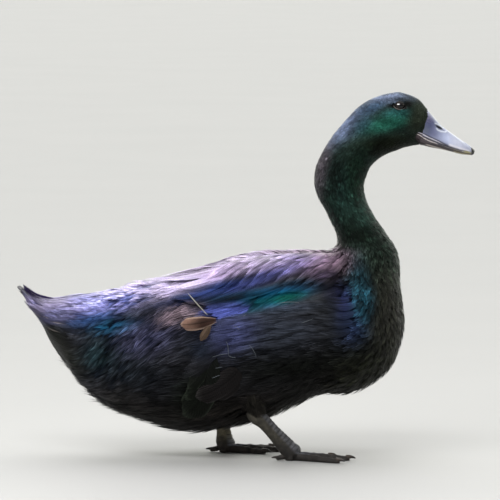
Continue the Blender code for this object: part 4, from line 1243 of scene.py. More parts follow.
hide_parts("head", "neck_upper", "neck_lower", "trunk", "tail", "wing_L", "wing_R",
            "thigh_L", "thigh_R", "tarsus_L", "tarsus_R", "foot_L", "foot_R")


# ---------------------------------------------------------------------------
# The small feathers of the whole body, laid in broken rows from tail to bill

def hash_rng(name):
    return np.random.default_rng(sum(ord(c) * (i + 7) for i, c in enumerate(name)))


roots = scatter(body, 14.0, TOTAL + 1.7, by_s(GAP_S), by_s(GAP_T), hash_rng("roots"))
rs, rt = roots[:, 0], np.mod(roots[:, 1], 2 * PI)
rp = body.look(rs, rt, 6)[:, :3]
ru, rv = side_view(rp)
print("roots", len(rs))


def thighs_clear(p):
    """False where a thigh leaves the belly."""
    ok = np.ones(len(p), bool)
    for leg in LEGS.values():
        c = np.array(leg["cuff_top"]) + (np.array(leg["cuff_end"]) - np.array(leg["cuff_top"])) * 0.55
        ok &= np.hypot(p[:, 0] - c[0], p[:, 1] - c[1]) > leg["cuff_r"][0] * 0.50
    return ok | (p[:, 2] > 75)


reach = lid_reach(rp[:, 0], rp[:, 2])
open_eye = (rs > 600) & (np.abs(rp[:, 1]) > 5) & (reach < 1.30)
# the feathering's front edge on the face, and the bare corner of the mouth
front_s = TOTAL + np.interp(rv, [106, 112, 117, 122, 128, 132, 135], [-0.3, 0.6, 1.5, 1.5, 0.9, 0.0, -0.6]) + hash_rng("front").normal(0, 0.30, len(rs))
gape_u = np.interp(rv, [132.5, 134, 136, 139, 142, 144.5, 147], [430, 417.5, 415.8, 414.8, 416.4, 421.5, 430])
open_eye |= (rs > front_s) | ((rs > 600) & (ru > gape_u) & (rv > 132.5) & (np.abs(rp[:, 1]) > 2.5))
right = rt > PI

groups = {
    # name: chosen roots, strips, lengths, shape, other settings
    "coat_face": (rs > 606, 3, 3, "round", dict(camber=0.10, fray=0.16, blunt=0.34, tone=0.22, streak=0.20, split=0.6, tilt=7, dark_root=0.7)),
    "coat_head": ((rs > 560) & (rs <= 606), 3, 4, "round", dict(camber=0.10, fray=0.20, blunt=0.34, tone=0.26, streak=0.24, split=0.55, tilt=9, dark_root=0.6)),
    "coat_neck": ((rs > 438) & (rs <= 560), 3, 4, "round", dict(camber=0.12, fray=0.26, blunt=0.38, tone=0.42, streak=0.34, split=0.5, tilt=12, dark_root=0.5)),
    "coat_breast": ((rs > 338) & (rs <= 438), 5, 5, "round", dict(camber=0.12, fray=0.26, blunt=0.42, tone=0.38, streak=0.36, split=0.5, tilt=13, rim=1.7, dark_root=0.30, root_at=(0.60, 0.95), lift=(1.55, 1.8))),
    "coat_side_R": ((rs > 150) & (rs <= 338) & right, 7, 6, "round", dict(camber=0.08, fray=0.40, blunt=0.38, tone=0.24, streak=0.38, split=0.42, tilt=10, dark_root=0.50, root_at=(0.55, 0.92), edge=0.35, lift=(1.60, 1.60))),
    "coat_side_L": ((rs > 150) & (rs <= 338) & ~right, 7, 6, "round", dict(camber=0.08, fray=0.40, blunt=0.38, tone=0.24, streak=0.38, split=0.42, tilt=10, dark_root=0.50, root_at=(0.55, 0.92), edge=0.35, lift=(1.60, 1.60))),
    "coat_rump": (rs <= 150, 4, 6, "lance", dict(camber=0.14, fray=0.34, blunt=0.42, tone=0.24, streak=0.32, split=0.42, tilt=10, rim=1.2, dark_root=0.30, root_at=(0.2, 0.75), edge=0.60, lift=(1.5, 1.62))),
}
MATS = {"coat_face": (MAT_HEAD, "plumage_head"), "coat_head": (MAT_HEAD, "plumage_head"), "coat_neck": (MAT_NECK, "plumage_neck"),
        "coat_breast": (MAT_BODY, "plumage_body"), "coat_side_R": (MAT_BODY, "plumage_body"), "coat_side_L": (MAT_BODY, "plumage_body"),
        "coat_rump": (MAT_BODY, "plumage_body")}

for name, (chosen, strips, rows, shape, extra) in groups.items():
    rng = hash_rng(name)
    pick = np.flatnonzero(chosen & ~open_eye & thighs_clear(rp))
    s, t = rs[pick], rt[pick]
    n = len(s)
    length = np.interp(s, FEATHER_AT, LONG) * rng.uniform(0.86, 1.14, n)
    half = np.interp(s, FEATHER_AT, HALF) * rng.uniform(0.88, 1.12, n)
    length = np.minimum(length, np.maximum(s - 3.0, 6.0) * 1.05)
    deep = coat_depth(s)
    yaw = rng.normal(0, 0.10 if strips < 4 else 0.13, n)
    bend = rng.normal(0, 0.10, n)
    line = walk(body, s, t, length, rows, yaw, bend)
    # no vane ends over the open eye
    tip = body.look(line[0][:, -1], line[1][:, -1], 6)[:, :3]
    over = (s > 600) & (np.abs(tip[:, 1]) > 5) & (lid_reach(tip[:, 0], tip[:, 2]) < 1.24)
    keep = ~over
    line = [a[keep] for a in line]
    deep, half = deep[keep], half[keep]
    high = rng.uniform(-0.05, 0.30, keep.sum()) * np.minimum(1.0, deep / 4)
    root_p = rp[pick][keep]
    lock = clumps(root_p, 20, 5)
    coarse_part = smooth(-s[keep], -470, -330)
    rear = smooth(-s[keep], -210, -130)
    small_lock = clumps(root_p, 9, 8) * (1 - rear) + 1.25 * np.tanh(1.5 * tufts(root_p, 22, 8, 8, 33)) * rear
    high = high + (coarse_part * np.clip(lock, -1.2, 1.6) * (0.75 + 0.7 * rear) + 0.7 * rear * small_lock) * smooth(s[keep], 40, 110)
    # the clumps that lower the feathers also darken them and turn them bluer: painted shade in the gaps between tufts
    uneven = coarse_part * 0.42 * lock + (0.22 + 0.46 * rear) * small_lock
    gain = np.exp(np.where(uneven > 0, 0.55 * uneven, uneven))[:, None]
    gain = gain * np.exp(np.minimum(uneven, 0)[:, None] * np.array([0.40, 0.15, -0.20]) * rear[:, None])
    plain, bright = extra.pop("lift", (1.0, 1.0))
    gain = gain * (plain + (bright - plain) * smooth(plumage_colour(root_p, s[keep]) @ np.array([0.25, 0.6, 0.15]), 0.12, 0.42))[:, None]
    low = np.where(s[keep] > TOTAL - 0.2, -0.25, -deep * 0.92)
    high = np.where(s[keep] > TOTAL - 0.2, 0.30, high)
    coat = Coat(name)
    grow(coat, body, line, half, low, high, rng, strips=strips, shape=shape, gain=gain, **extra)
    coat.make(*MATS[name])


# ---------------------------------------------------------------------------
# Wing, scapulars, flank fringe and tail: longer feathers laid over the small ones

def both_sides(items):
    """Roots and tips of feathers given by side-view places, for the right side and then the left."""
    a = np.array([place_of(i[0], i[1]) for i in items])
    b = np.array([place_of(i[2], i[3]) for i in items])
    rest = np.array([i[4:] for i in items], float)
    s0, t0, s1, t1 = a[:, 0], a[:, 1], b[:, 0], b[:, 1]
    return (
        np.concatenate([s0, s0]), np.concatenate([t0, 2 * PI - t0]),
        np.concatenate([s1, s1]), np.concatenate([t1, 2 * PI - t1]), np.concatenate([rest, rest]),
    )


def lay(coat, items, rng, rows=9, jitter=1.2, bow=0.0, **how):
    """Feathers (u0, v0, u1, v1, half, low, high) on both sides; bow bends them tipwards to the keel."""
    s0, t0, s1, t1, rest = both_sides(items)
    n = len(s0)
    s0, s1 = s0 + rng.normal(0, jitter, n), s1 + rng.normal(0, jitter, n)
    keel = np.where(t0 < PI, -1.0, 1.0)
    lines = straight(body, s0, t0, s1, t1, rows, bow * keel + rng.normal(0, 0.012, n))
    half = rest[:, 0] * rng.uniform(0.94, 1.06, n)
    grow(coat, body, lines, half, rest[:, 1], rest[:, 2] + rng.normal(0, 0.15, n), rng, local=how.pop("local", True), **how)


def along_line(pts, count):
    """Places spread evenly along a line through places."""
    pts = np.array(pts, float)
    d = np.concatenate([[0], np.cumsum(np.linalg.norm(np.diff(pts, axis=0), axis=1))])
    x = np.linspace(0, d[-1], count)
    return np.column_stack([np.interp(x, d, pts[:, 0]), np.interp(x, d, pts[:, 1])])


def tier(tips, count, du, dv, half, low, high, spread=1.5, rng=None):
    """A row of feathers whose tips lie along a line and whose roots lie du, dv away (each may change along the row)."""
    t = along_line(tips, count)
    w = np.linspace(0, 1, count)
    f = lambda x: np.interp(w, [0, 1], x) if np.ndim(x) else np.full(count, float(x))
    du, dv, half, low, high = f(du), f(dv), f(half), f(low), f(high)
    j = rng.normal(0, spread, (count, 4))
    return [
        (t[i, 0] + du[i] + j[i, 0], t[i, 1] + dv[i] + 0.5 * j[i, 1], t[i, 0] + j[i, 2], t[i, 1] + 0.4 * j[i, 3], half[i], low[i], high[i])
        for i in range(count)
    ]


rng = hash_rng("wing")
VANE = dict(strips=12, shape="blade", roll=0.16, camber=0.18, fray=0.05, blunt=0.22, split=0.86, tilt=4, tone=0.12, streak=0.14, rim=1.35, point=0.35, dark_root=0.75)
FINE = dict(strips=12, shape="round", roll=0.12, camber=0.14, fray=0.26, blunt=0.32, split=0.55, tilt=8, tone=0.16, streak=0.34, rim=1.15, dark_root=0.6)


def violet(base, v, u):
    return base * 0.35 + srgb(98, 110, 200) * 0.65


def teal(base, v, u):
    low_edge = smooth(u, 0.55, 1.0)[..., None]
    return base * (1 - 0.35 * low_edge) + srgb(10, 60, 62) * 0.35 * low_edge


wing = Coat("coat_wing")
# secondaries that show as the mirror
lay(wing, tier([(303, 301.5), (285, 305), (268, 308.5), (254, 311.5), (243, 313.5)], 9, (36, 42), (-14, -20), 6.2, -1.0, (1.8, 2.6), rng=rng), rng,
    **{**VANE, "paint": teal, "edge": 0.45, "gain": 1.1})
lay(wing, tier([(236, 315.5), (227, 318), (217, 318.5), (210, 315), (206.5, 306.5)], 7, (38, 40), (-18, -13), (5.6, 4.6), -1.2, (1.4, 2.4), rng=rng), rng,
    **{**VANE, "paint": violet, "edge": 0.35, "gain": 1.1, "streak": 0.22})
# coverts over the mirror
lay(wing, tier([(306, 291), (296, 291.5), (284, 292), (272, 294), (260, 298), (250, 302), (240, 305)], 9, (26, 28), (-15, -18), 5.6, 0.0, (1.2, 2.0), rng=rng), rng,
    bow=0.05, **{**VANE, "rim": 1.5, "tone": 0.2, "edge": 0.5, "dark_root": 0.5, "root_at": (0.35, 0.85), "gain": 1.15})
wing.make(MAT_WING, "plumage_wing")

back = Coat("coat_shoulder")
# lower fold of the tertials
lay(back, tier([(169, 298), (178, 300), (187, 301.5), (197, 303.5), (207, 304.8), (217, 304), (227, 301), (236, 298), (245, 295)], 13,
               (62, 40), (-23, -16), (7.6, 6.4), 0.5, (2.6, 3.8), rng=rng), rng, bow=0.05, rows=12, **{**VANE, "edge": 0.55, "gain": 1.15, "streak": 0.2})
# long upper tertials, one over the other
lay(back, [(242, 268, 171, 291.5, 7.0, 1.0, 3.2), (250, 268, 181, 290, 7.4, 1.2, 3.4), (258, 268, 192, 288.5, 7.6, 1.2, 3.4),
           (266, 268, 204, 286.5, 7.6, 1.2, 3.4)], rng, bow=0.04, rows=12, jitter=0.6, **{**VANE, "roll": 0.06, "camber": 0.12, "rim": 1.35, "edge": 0.35, "gain": 1.06, "streak": 0.3})
lay(back, [(250, 262, 160.5, 281.8, 7.4, 0.0, 1.5), (258, 262, 172, 281, 7.6, 0.2, 1.6), (266, 261, 185, 279.5, 7.6, 0.4, 1.6),
           (274, 260, 199, 277.5, 7.6, 0.4, 1.6)], rng, bow=0.02, rows=12, jitter=0.6, **{**VANE, "roll": 0.14, "camber": 0.08, "rim": 1.3, "dark_root": 0.9, "edge": 0.25, "gain": 0.9, "streak": 0.3})
# scapulars: rows that fall steeply towards the mirror
for tips, count, du, dv, half, high in (
    ([(214, 291), (228, 291), (240, 292), (252, 291), (264, 289), (278, 287), (294, 286), (310, 287)], 11, (28, 22), (-24, -22), 6.2, 4.2),
    ([(205, 282), (218, 281), (232, 281), (248, 280), (266, 279), (284, 279), (300, 280), (316, 281)], 13, (28, 22), (-20, -20), 6.2, 4.4),
    ([(214, 274), (230, 273), (248, 272), (268, 271), (290, 271), (306, 272), (320, 273)], 12, (28, 22), (-13, -14), 6.2, 4.2),
    ([(226, 267), (244, 265), (262, 263), (282, 262.5), (302, 263), (322, 265)], 12, (27, 22), (-8, -9), 6.0, 3.2),
    ([(240, 261), (262, 257.5), (284, 257), (304, 257), (324, 258)], 11, (25, 21), (-4, -4), 5.6, 1.8),
):
    lay(back, tier(tips, count, du, dv, half, min(1.2, high - 1.6), high, 2.0, rng=rng), rng, bow=0.05,
        **{**FINE, "strips": 12, "fray": 0.16, "split": 0.72, "rim": 1.35, "streak": 0.22, "tone": 0.20, "blunt": 0.30,
           "edge": 0.45, "dark_root": 0.34, "root_at": (0.50, 0.94), "gain": 1.64})
back.make(MAT_WING, "plumage_wing")

side = Coat("coat_flank")
# flank feathers that wrap the wing's lower edge
for k, (drop, high) in enumerate(((0, 3.6), (7, 3.8), (14, 3.4), (22, 2.8), (31, 2.0))):
    tips = [(214, 322 + drop), (226, 319.5 + drop), (240, 316 + drop), (252, 312.5 + drop), (264, 311 + drop), (278, 307.5 + drop), (292, 304.5 + drop),
            (304, 303.5 + drop), (313, 299.5 + drop), (321, 298 + drop)]
    lay(side, tier(tips, 17, (36, 28), (-9, 1), 5.4, 0.2, high, 2.4, rng=rng), rng, bow=0.03,
        **{**FINE, "edge": 0.35, "dark_root": 0.45, "root_at": (0.35, 0.85), "gain": 1.3})
# their rear edge over the rump
edge = [(214, 321), (211, 327), (208, 334), (204, 341), (198, 348), (193, 355), (189, 362), (186, 369), (184, 376)]
lay(side, tier(edge, 15, (38, 32), (-6, -24), 6.2, 0.5, (3.6, 3.8), 1.0, rng=rng), rng, bow=0.05,
    **{**FINE, "fray": 0.08, "rim": 1.9, "edge": 0.3, "dark_root": 0.45, "root_at": (0.35, 0.85), "gain": 1.15})
# two rounded lobes behind the thigh


def lobe_green(base, v, u):
    rim = (smooth(np.maximum(np.abs(v), u), 0.86, 1.0) * smooth(u, 0.3, 0.7))[..., None]
    c = base * 0.1 + srgb(14, 18, 12) * 0.9
    return c * (1 - rim) + srgb(46, 52, 44) * rim


def lobe_brown(base, v, u):
    rim = (smooth(np.maximum(np.abs(v), u), 0.86, 1.0) * smooth(u, 0.3, 0.7))[..., None]
    c = base * 0.1 + srgb(27, 24, 24) * 0.9
    return c * (1 - rim) + srgb(50, 48, 48) * rim


lay(side, [(207, 354, 188, 386, 7.5, 1.0, 3.4), (210, 362, 186, 396, 8.0, 1.2, 3.6), (214, 370, 191, 404, 8.0, 1.4, 3.8)], rng, bow=0.08, jitter=0.5, **{**VANE, "paint": lobe_green})
lay(side, [(206, 350, 184, 411.5, 16.0, 0.6, 4.8)], rng, bow=0.12, rows=14, jitter=0.0, **{**VANE, "strips": 26, "fray": 0.03, "blunt": 0.16, "point": 0.7, "camber": 0.10, "streak": 0.16, "tone": 0.0,
    "paint": lobe_green, "rim": 1.3})
lay(side, [(228, 371, 200, 390, 6.4, 1.6, 4.4), (232, 374, 204, 395, 6.6, 1.8, 4.6), (238, 378, 214, 395, 6.4, 1.8, 4.6)],
    rng, bow=0.08, jitter=0.5, **{**VANE, "paint": lobe_brown})
lay(side, [(239, 368, 196, 392.5, 11.5, 1.6, 6.0)], rng, bow=0.06, rows=14, jitter=0.0, **{**VANE, "strips": 24, "fray": 0.03, "blunt": 0.16, "point": 0.7, "camber": 0.10, "streak": 0.16, "tone": 0.0,
    "paint": lobe_brown, "rim": 1.3})
side.make(MAT_BODY, "plumage_body")

# tail: broad feathers above and below the wedge, the middle ones swept up
tail = Coat("coat_tail")
rng = hash_rng("tail")
up = []
for k in range(9):
    w = k / 8
    # (root s, root turn, tip s, tip turn, half, low, high, curl)
    up.append((96 - 22 * w, 0.10 + 0.62 * w, 5.0 + 23 * w**1.3, 0.16 + 1.25 * w, 6.4 - 1.0 * w, -1.0 + 0.6 * (1 - w), 1.4 + 0.6 * (1 - w), 1.2 * (1 - w) ** 2))
for item in up[::-1]:
    r0, q0, r1, q1, half, low, high, curl = item
    for sgn in (1, -1):
        t0, t1 = q0 * sgn, q1 * sgn
        lines = straight(body, [r0], [t0], [r1 + rng.normal(0, 1.0)], [t1], 14, rng.normal(0, 0.01))
        grow(tail, body, lines, half, low, high, rng, curl=curl, local=True, **{**VANE, "strips": 14, "blunt": 0.55, "point": 0.15, "rim": 1.4, "tone": 0.16, "shape": "lance"})
low_ = []
for k in range(7):
    w = k / 6
    low_.append((92 - 14 * w, PI - 0.12 - 0.55 * w, 14 + 22 * w, PI - 0.2 - 1.0 * w, 6.6, -0.8, 1.0))
for r0, q0, r1, q1, half, low, high in low_[::-1]:
    for sgn in (1, -1):
        lines = straight(body, [r0], [q0 * sgn], [r1 + rng.normal(0, 1.5)], [q1 * sgn], 12, rng.normal(0, 0.01))
        grow(tail, body, lines, half, low, high, rng, local=True, **{**VANE, "strips": 14, "blunt": 0.5, "point": 0.2})
# side feathers of the tail, pale along their edges


def pale_edge(base, v, u):
    w = (smooth(np.abs(v), 0.78, 0.95) * smooth(u, 0.30, 0.6))[..., None]
    return base * (1 - w) + srgb(146, 138, 134) * w


side_set = {**VANE, "strips": 14, "blunt": 0.35, "rim": 1.4, "roll": 0.05, "camber": 0.14, "dark_root": 0.7}
lay(tail, [(92, 347, 49.5, 332, 5.2, 0.0, 1.2), (90, 336, 43.5, 321.5, 5.2, 0.2, 1.5)], rng, rows=12, jitter=0.5, bow=0.03, **side_set)
lay(tail, [(88, 325, 37.5, 312, 5.2, 0.2, 1.9), (86, 315, 31, 304.5, 5.0, 0.2, 2.2), (84, 307, 27, 299, 4.6, 0.2, 2.4)],
    rng, rows=12, jitter=0.5, bow=0.03, **{**side_set, "paint": pale_edge})
# the middle feathers, swept up and turned on edge so that their vanes face the sides
MIDDLE = (
    # places of the shaft, distance from the median plane, half width, colour
    ([(66, 303), (54, 301.5), (44, 299.5), (35, 296.5), (27.5, 291.0), (22.2, 283.0)], -2.2, 4.0, srgb(64, 54, 92)),
    ([(66, 303), (54, 301.5), (44, 299.5), (35, 296.8), (27.5, 292.0), (23.2, 285.5)], 2.2, 3.8, srgb(58, 50, 84)),
    ([(62, 305), (50, 304), (40, 302), (31, 299.0), (24.5, 295.0), (19.2, 289.4)], -3.8, 2.4, srgb(52, 46, 66)),
    ([(60, 306), (48, 305), (38, 303), (29, 299.6), (22.5, 295.0), (16.8, 289.0)], 3.6, 2.2, srgb(52, 46, 66)),
)
for pts, y, hw, colour in MIDDLE:
    fine = along_line(pts, 40)
    for _ in range(8):
        fine[1:-1] = (fine[:-2] + 2 * fine[1:-1] + fine[2:]) / 4
    w = np.linspace(0, 1, 40)
    path = np.column_stack([(fine[:, 0] - 245.5) * 1.06, np.full(40, y) * (0.6 + 0.4 * w), (456.5 - fine[:, 1]) * 1.06])
    length = float(np.linalg.norm(np.diff(path, axis=0), axis=1).sum())
    blade = Field(tube(path, np.column_stack([np.full(40, hw * 1.2), np.full(40, 0.5)]), 64, (0, 1, 0)), 0.0, length)
    for t0 in (PI / 2, 3 * PI / 2):
        lines = straight(blade, [length * 0.02], [t0], [length * 0.985], [t0], 14, 0.0)
        grow(tail, blade, lines, hw, 0.0, 0.0, rng, span=length, colour=colour,
             **{**VANE, "shape": "lance", "strips": 10, "blunt": 0.10 if hw > 3 else 0.6, "fray": 0.03, "roll": 0.0, "camber": 0.04, "point": 0.25, "rim": 1.3, "dark_root": 1.0})
tail.make(MAT_TAIL, "plumage_tail")

# small feathers that cover the tail's root and reach out along its top and sides
rng = hash_rng("tail coverts")
cover = Coat("coat_tail_coverts")
spots = scatter(body, 30.0, 112.0, lambda s, t, q: np.full(len(t), 4.4), lambda s, t, q: np.full(len(t), 2.9), rng)
wrap = np.mod(spots[:, 1] + PI, 2 * PI) - PI
spots = spots[(np.abs(wrap) < 1.95) & (spots[:, 0] > 34 + 9 * np.abs(wrap))]
n = len(spots)
far_out = np.interp(spots[:, 0], [30, 60, 112], [13.0, 18.0, 21.0]) * rng.uniform(0.85, 1.15, n)
lines = walk(body, spots[:, 0], spots[:, 1], far_out, 6, rng.normal(0, 0.16, n), rng.normal(0, 0.14, n))
where_ = body.look(spots[:, 0], spots[:, 1], 6)[:, :3]
lock = clumps(where_, 13, 21)
lift_ = 1.25 * np.tanh(1.5 * tufts(where_, 20, 7.5, 22, 20))
# where the tufts sink the vanes are darkened and turned bluer: painted shade in the gaps between tufts
uneven = 0.20 * lock + 0.54 * lift_
front_end = smooth(spots[:, 0], 84, 112)
grow(cover, body, lines, np.interp(spots[:, 0], [30, 112], [2.0, 2.5]) * rng.uniform(0.9, 1.1, n), 0.2 - 2.6 * front_end,
     1.7 + 0.6 * np.clip(lock, -1, 1.4) + 0.6 * lift_ - 0.9 * front_end, rng,
     strips=5, shape="lance", camber=0.14, fray=0.32, blunt=0.42, tone=0.22, streak=0.30, split=0.42, tilt=9, rim=1.2, dark_root=0.28,
     root_at=(0.2, 0.75), edge=0.60,
     gain=(np.exp(np.where(uneven > 0, 0.5 * uneven, uneven)) * np.interp(spots[:, 0], [50, 105], [1.5, 1.85]))[:, None] * np.exp(np.minimum(uneven, 0)[:, None] * np.array([0.40, 0.15, -0.20])))
cover.make(MAT_TAIL, "plumage_tail")

# odd feathers of the right side: a worn brown one pushed out of place, a scrap below it, a bare shaft
odd = Coat("coat_odd")
rng = hash_rng("odd")


def one(coat, u0, v0, u1, v1, half, low, high, rows=10, bow=0.0, **how):
    s0, t0 = place_of(u0, v0)
    s1, t1 = place_of(u1, v1)
    lines = straight(body, [s0], [t0], [s1], [t1], rows, bow)
    grow(coat, body, lines, half, low, high, rng, **how)


def worn(base, v, u):
    a = np.abs(v)
    pale = np.maximum(smooth(a, 0.70, 0.92), smooth(u, 0.90, 1.0))[..., None]
    streak_ = (np.exp(-(((v + 0.1) / 0.22) ** 2)) * (1 - smooth(u, 0.55, 0.9)))[..., None]
    far = smooth(u, 0.35, 0.85)[..., None]
    c = srgb(58, 40, 34) * (1 - far) + srgb(128, 100, 88) * far
    c = c * (1 - 0.5 * streak_) + srgb(34, 26, 23) * 0.5 * streak_
    return c * (1 - 0.8 * pale) + srgb(172, 148, 134) * 0.8 * pale


one(odd, 217, 319.0, 182.5, 322.3, 6.6, 2.2, 6.2, rows=14, strips=16, shape="round", camber=0.16, fray=0.03, blunt=0.16, split=0.93, tilt=3,
    tone=0.01, streak=0.08, paint=worn, rim=1.0, point=0.6, dark_root=0.9)
one(odd, 212, 324, 202.5, 338.5, 4.0, 3.0, 6.0, strips=8, shape="round", camber=0.1, fray=0.10, blunt=0.2, split=0.9, tilt=4,
    tone=0.01, streak=0.12, colour=srgb(90, 74, 62), rim=1.1, point=0.5, dark_root=0.9)
one(odd, 209, 314, 190, 295.5, 0.45, 4.6, 6.8, rows=12, strips=2, shape="blade", camber=0.8, fray=0.0, blunt=0.0, split=0.9, tilt=0,
    tone=0.01, streak=0.02, colour=srgb(176, 176, 166), rim=1.0, point=0.3, dark_root=0.9)
for u0, v0, u1, v1, bow in ((226, 337, 229, 353, 0.06), (229, 353, 236, 354.5, -0.10), (232, 324, 240, 328, 0.1), (213, 356, 229, 351, 0.04),
                            (209, 377.5, 221, 372, 0.03), (249, 342, 256, 354, 0.08), (216, 366, 223, 364, 0.0), (300, 303, 276, 304, -0.05),
                            (247, 313, 243, 316, 0.0), (312, 318, 300, 322, 0.05)):
    one(odd, u0, v0, u1, v1, 0.24, 3.2, 4.4, rows=9, bow=bow, strips=2, shape="blade", camber=0.8, fray=0.0, blunt=0.0, split=0.9, tilt=0,
        tone=0.01, streak=0.02, colour=srgb(104, 110, 116), rim=1.0, point=0.4, dark_root=0.9)
odd.make(MAT_BODY, "plumage_body")

# ragged tips along the keel and under the tail
edge_coat = Coat("coat_ragged")
rng = hash_rng("ragged")
n = 130
rs2 = rng.uniform(62, 330, n)
rt2 = PI + rng.normal(0, 0.35, n)
ln = np.interp(rs2, FEATHER_AT, LONG) * rng.uniform(0.8, 1.1, n)
lines = walk(body, rs2, rt2, ln, 6, rng.normal(0, 0.2, n), rng.normal(0, 0.15, n))
grow(edge_coat, body, lines, np.interp(rs2, FEATHER_AT, HALF) * 0.8, -3.0, rng.uniform(0.4, 1.6, n), rng, curl=0.8, strips=7, shape="lance", fray=0.5, blunt=0.5,
     split=0.4, tilt=12, tone=0.3, streak=0.4)
for (u, v), lift in (((80, 366), 8.5), ((102, 393), 7.5), ((109, 400), 7.0), ((118, 404), 4.0), ((92, 384), 3.0)):
    gu, gv = side_view(body.p)
    i, j = np.unravel_index(np.argmin((gu - u) ** 2 + (gv - v) ** 2 + 4000 * (np.abs(body.p[..., 1]) > 12)), gu.shape)
    s0 = body.s0 + i * body.ds + rng.normal(0, 1.0, 4)
    lines = walk(body, s0, np.full(4, j * body.dt) + rng.normal(0, 0.05, 4), 20.0, 6, rng.normal(0, 0.2, 4), 0.0)
    grow(edge_coat, body, lines, 2.6, -1.0, 2.4, rng, curl=lift, strips=5, shape="lance", fray=0.4, blunt=0.6, split=0.3, tilt=14, tone=0.2, streak=0.4,
         colour=srgb(60, 56, 54))
edge_coat.make(MAT_BODY, "plumage_body")

# a lower layer that closes the coat ahead of the breast and below it
under = Coat("coat_under")
rng = hash_rng("under")
spots = scatter(body, 315.0, 445.0, lambda s, t, q: np.full(len(t), 6.5), lambda s, t, q: np.full(len(t), 5.5), rng)
spots = spots[np.abs(np.mod(spots[:, 1], 2 * PI) - PI) < 1.6]
n = len(spots)
lines = walk(body, spots[:, 0], spots[:, 1], 22.0 * rng.uniform(0.9, 1.1, n), 5, rng.normal(0, 0.22, n), 0.0)
grow(under, body, lines, 5.0, -5.0, -1.5, rng, strips=5, shape="round", fray=0.2, blunt=0.3, tone=0.2, streak=0.3, dark_root=0.8, gain=0.8)
under.make(MAT_BODY, "plumage_body")

# thigh cuffs
cuffs = Coat("coat_thighs")
rng = hash_rng("cuffs")


def down_leg(s, t, p, n_, ps, pt, yaw):
    d = unit(ps)
    b = np.cross(n_, d)
    yaw = np.asarray(yaw)[..., None] if np.ndim(yaw) else yaw
    return d * np.cos(yaw) + b * np.sin(yaw)


for tag, leg in LEGS.items():
    a, b = np.array(leg["cuff_top"]), np.array(leg["cuff_end"])
    to_ankle = unit(np.array(leg["ankle"]) - np.array(leg["hock"]))
    end = b - to_ankle * 1.0
    rows = 60
    w = np.linspace(0, 1, rows)
    path = np.stack([np.interp(w, [0, 1], [a[k], end[k]]) for k in range(3)], -1)
    r = np.interp(w, [0, 0.3, 0.65, 0.85, 1.0], [leg["cuff_r"][0], leg["cuff_r"][0] * 0.86, leg["cuff_r"][1] * 1.16, leg["cuff_r"][1] * 0.98, leg["cuff_r"][1] * 0.80])
    length = float(np.linalg.norm(np.diff(path, axis=0), axis=1).sum())
    ring = tube(path, np.stack([r, r * 0.88], -1), 64, (0, 1, 0))
    cuff = Field(ring, 0.0, length)
    gap_s = lambda s, t, q, L=length: np.full(len(t), np.interp(s, [0, L * 0.6, L], [5.0, 3.6, 2.6]))
    gap_t = lambda s, t, q, L=length: np.full(len(t), np.interp(s, [0, L * 0.6, L], [4.0, 2.8, 2.0]))
    root = scatter(cuff, 1.0, length * 0.90, gap_s, gap_t, rng)
    s0, t0 = root[:, 0], root[:, 1]
    n = len(s0)
    ln = np.interp(s0, [0, length * 0.6, length], [20, 12, 7.5]) * rng.uniform(0.85, 1.15, n)
    ln = np.minimum(ln, length + 2.0 - s0 + rng.uniform(0, 2.5, n))
    lines = walk(cuff, s0, t0, ln, 5, rng.normal(0, 0.14, n), rng.normal(0, 0.12, n), lie=down_leg)
    hw = np.interp(s0, [0, length * 0.6, length], [4.4, 2.9, 1.9]) * rng.uniform(0.9, 1.1, n)
    dark = srgb(40, 38, 34) * (1 - smooth(s0, length * 0.6, length)[:, None]) + srgb(58, 54, 48) * smooth(s0, length * 0.6, length)[:, None]
    grow(cuffs, cuff, lines, hw, -np.minimum(5.0, hw * 1.6), rng.uniform(-0.4, 0.4, n), rng, strips=5, shape="round", fray=0.35, blunt=0.4, split=0.4, tilt=10,
         tone=0.22, streak=0.35, colour=dark, span=length, dark_root=0.5)
cuffs.make(MAT_BODY, "plumage_body")


# ---------------------------------------------------------------------------
# Bill

BILL_SECTIONS = (
    # top (x, z), tomium (x, z), foot (x, z), half width at tomium, squareness
    ("root",    (192.8, 367.6), (187.0, 339.6), (184.8, 330.4), 10.9, 2.25),
    ("saddle",  (197.6, 361.6), (190.6, 337.6), (188.2, 329.4), 10.6, 2.3),
    ("nostril", (204.6, 353.6), (196.6, 334.6), (193.6, 328.0), 10.4, 2.35),
    ("middle",  (213.0, 346.4), (207.2, 330.6), (205.4, 326.0), 11.0, 2.45),
    ("spoon",   (222.6, 339.6), (218.9, 326.5), (217.4, 323.4), 12.0, 2.6),
    ("nail",    (232.5, 332.6), (230.6, 323.1), (229.4, 320.6), 11.2, 2.5),
    ("tip",     (238.8, 328.0), (238.2, 321.7), (237.6, 319.8), 7.0, 2.3),
    ("lip",     (241.0, 326.0), (240.4, 321.0), (239.6, 319.6), 4.2, 2.0),
    ("end",     (242.2, 324.6), (242.0, 321.4), (241.5, 320.4), 2.0, 2.0),
)
bill_table = np.array([[*b[1], *b[2], *b[3], *b[4:]] for b in BILL_SECTIONS], float)
bill_along = np.concatenate([[0.0], np.cumsum(np.linalg.norm(np.diff(bill_table[:, 2:4], axis=0), axis=1))])
bill_slopes = slopes(bill_along, bill_table)


def from_line(u, v, pts):
    """Distance in the side view to a line through places, and how far along it (0..1)."""
    pts = np.array(pts, float)
    best, place = np.full(np.shape(u), 1e9), np.zeros(np.shape(u))
    lens = np.linalg.norm(np.diff(pts, axis=0), axis=1)
    total, run = lens.sum(), 0.0
    for a, b, l in zip(pts[:-1], pts[1:], lens):
        w = np.clip(((u - a[0]) * (b[0] - a[0]) + (v - a[1]) * (b[1] - a[1])) / l**2, 0, 1)
        d = np.hypot(u - a[0] - (b[0] - a[0]) * w, v - a[1] - (b[1] - a[1]) * w)
        near = d < best
        best = np.where(near, d, best)
        place = np.where(near, (run + w * l) / total, place)
        run += l
    return best, place


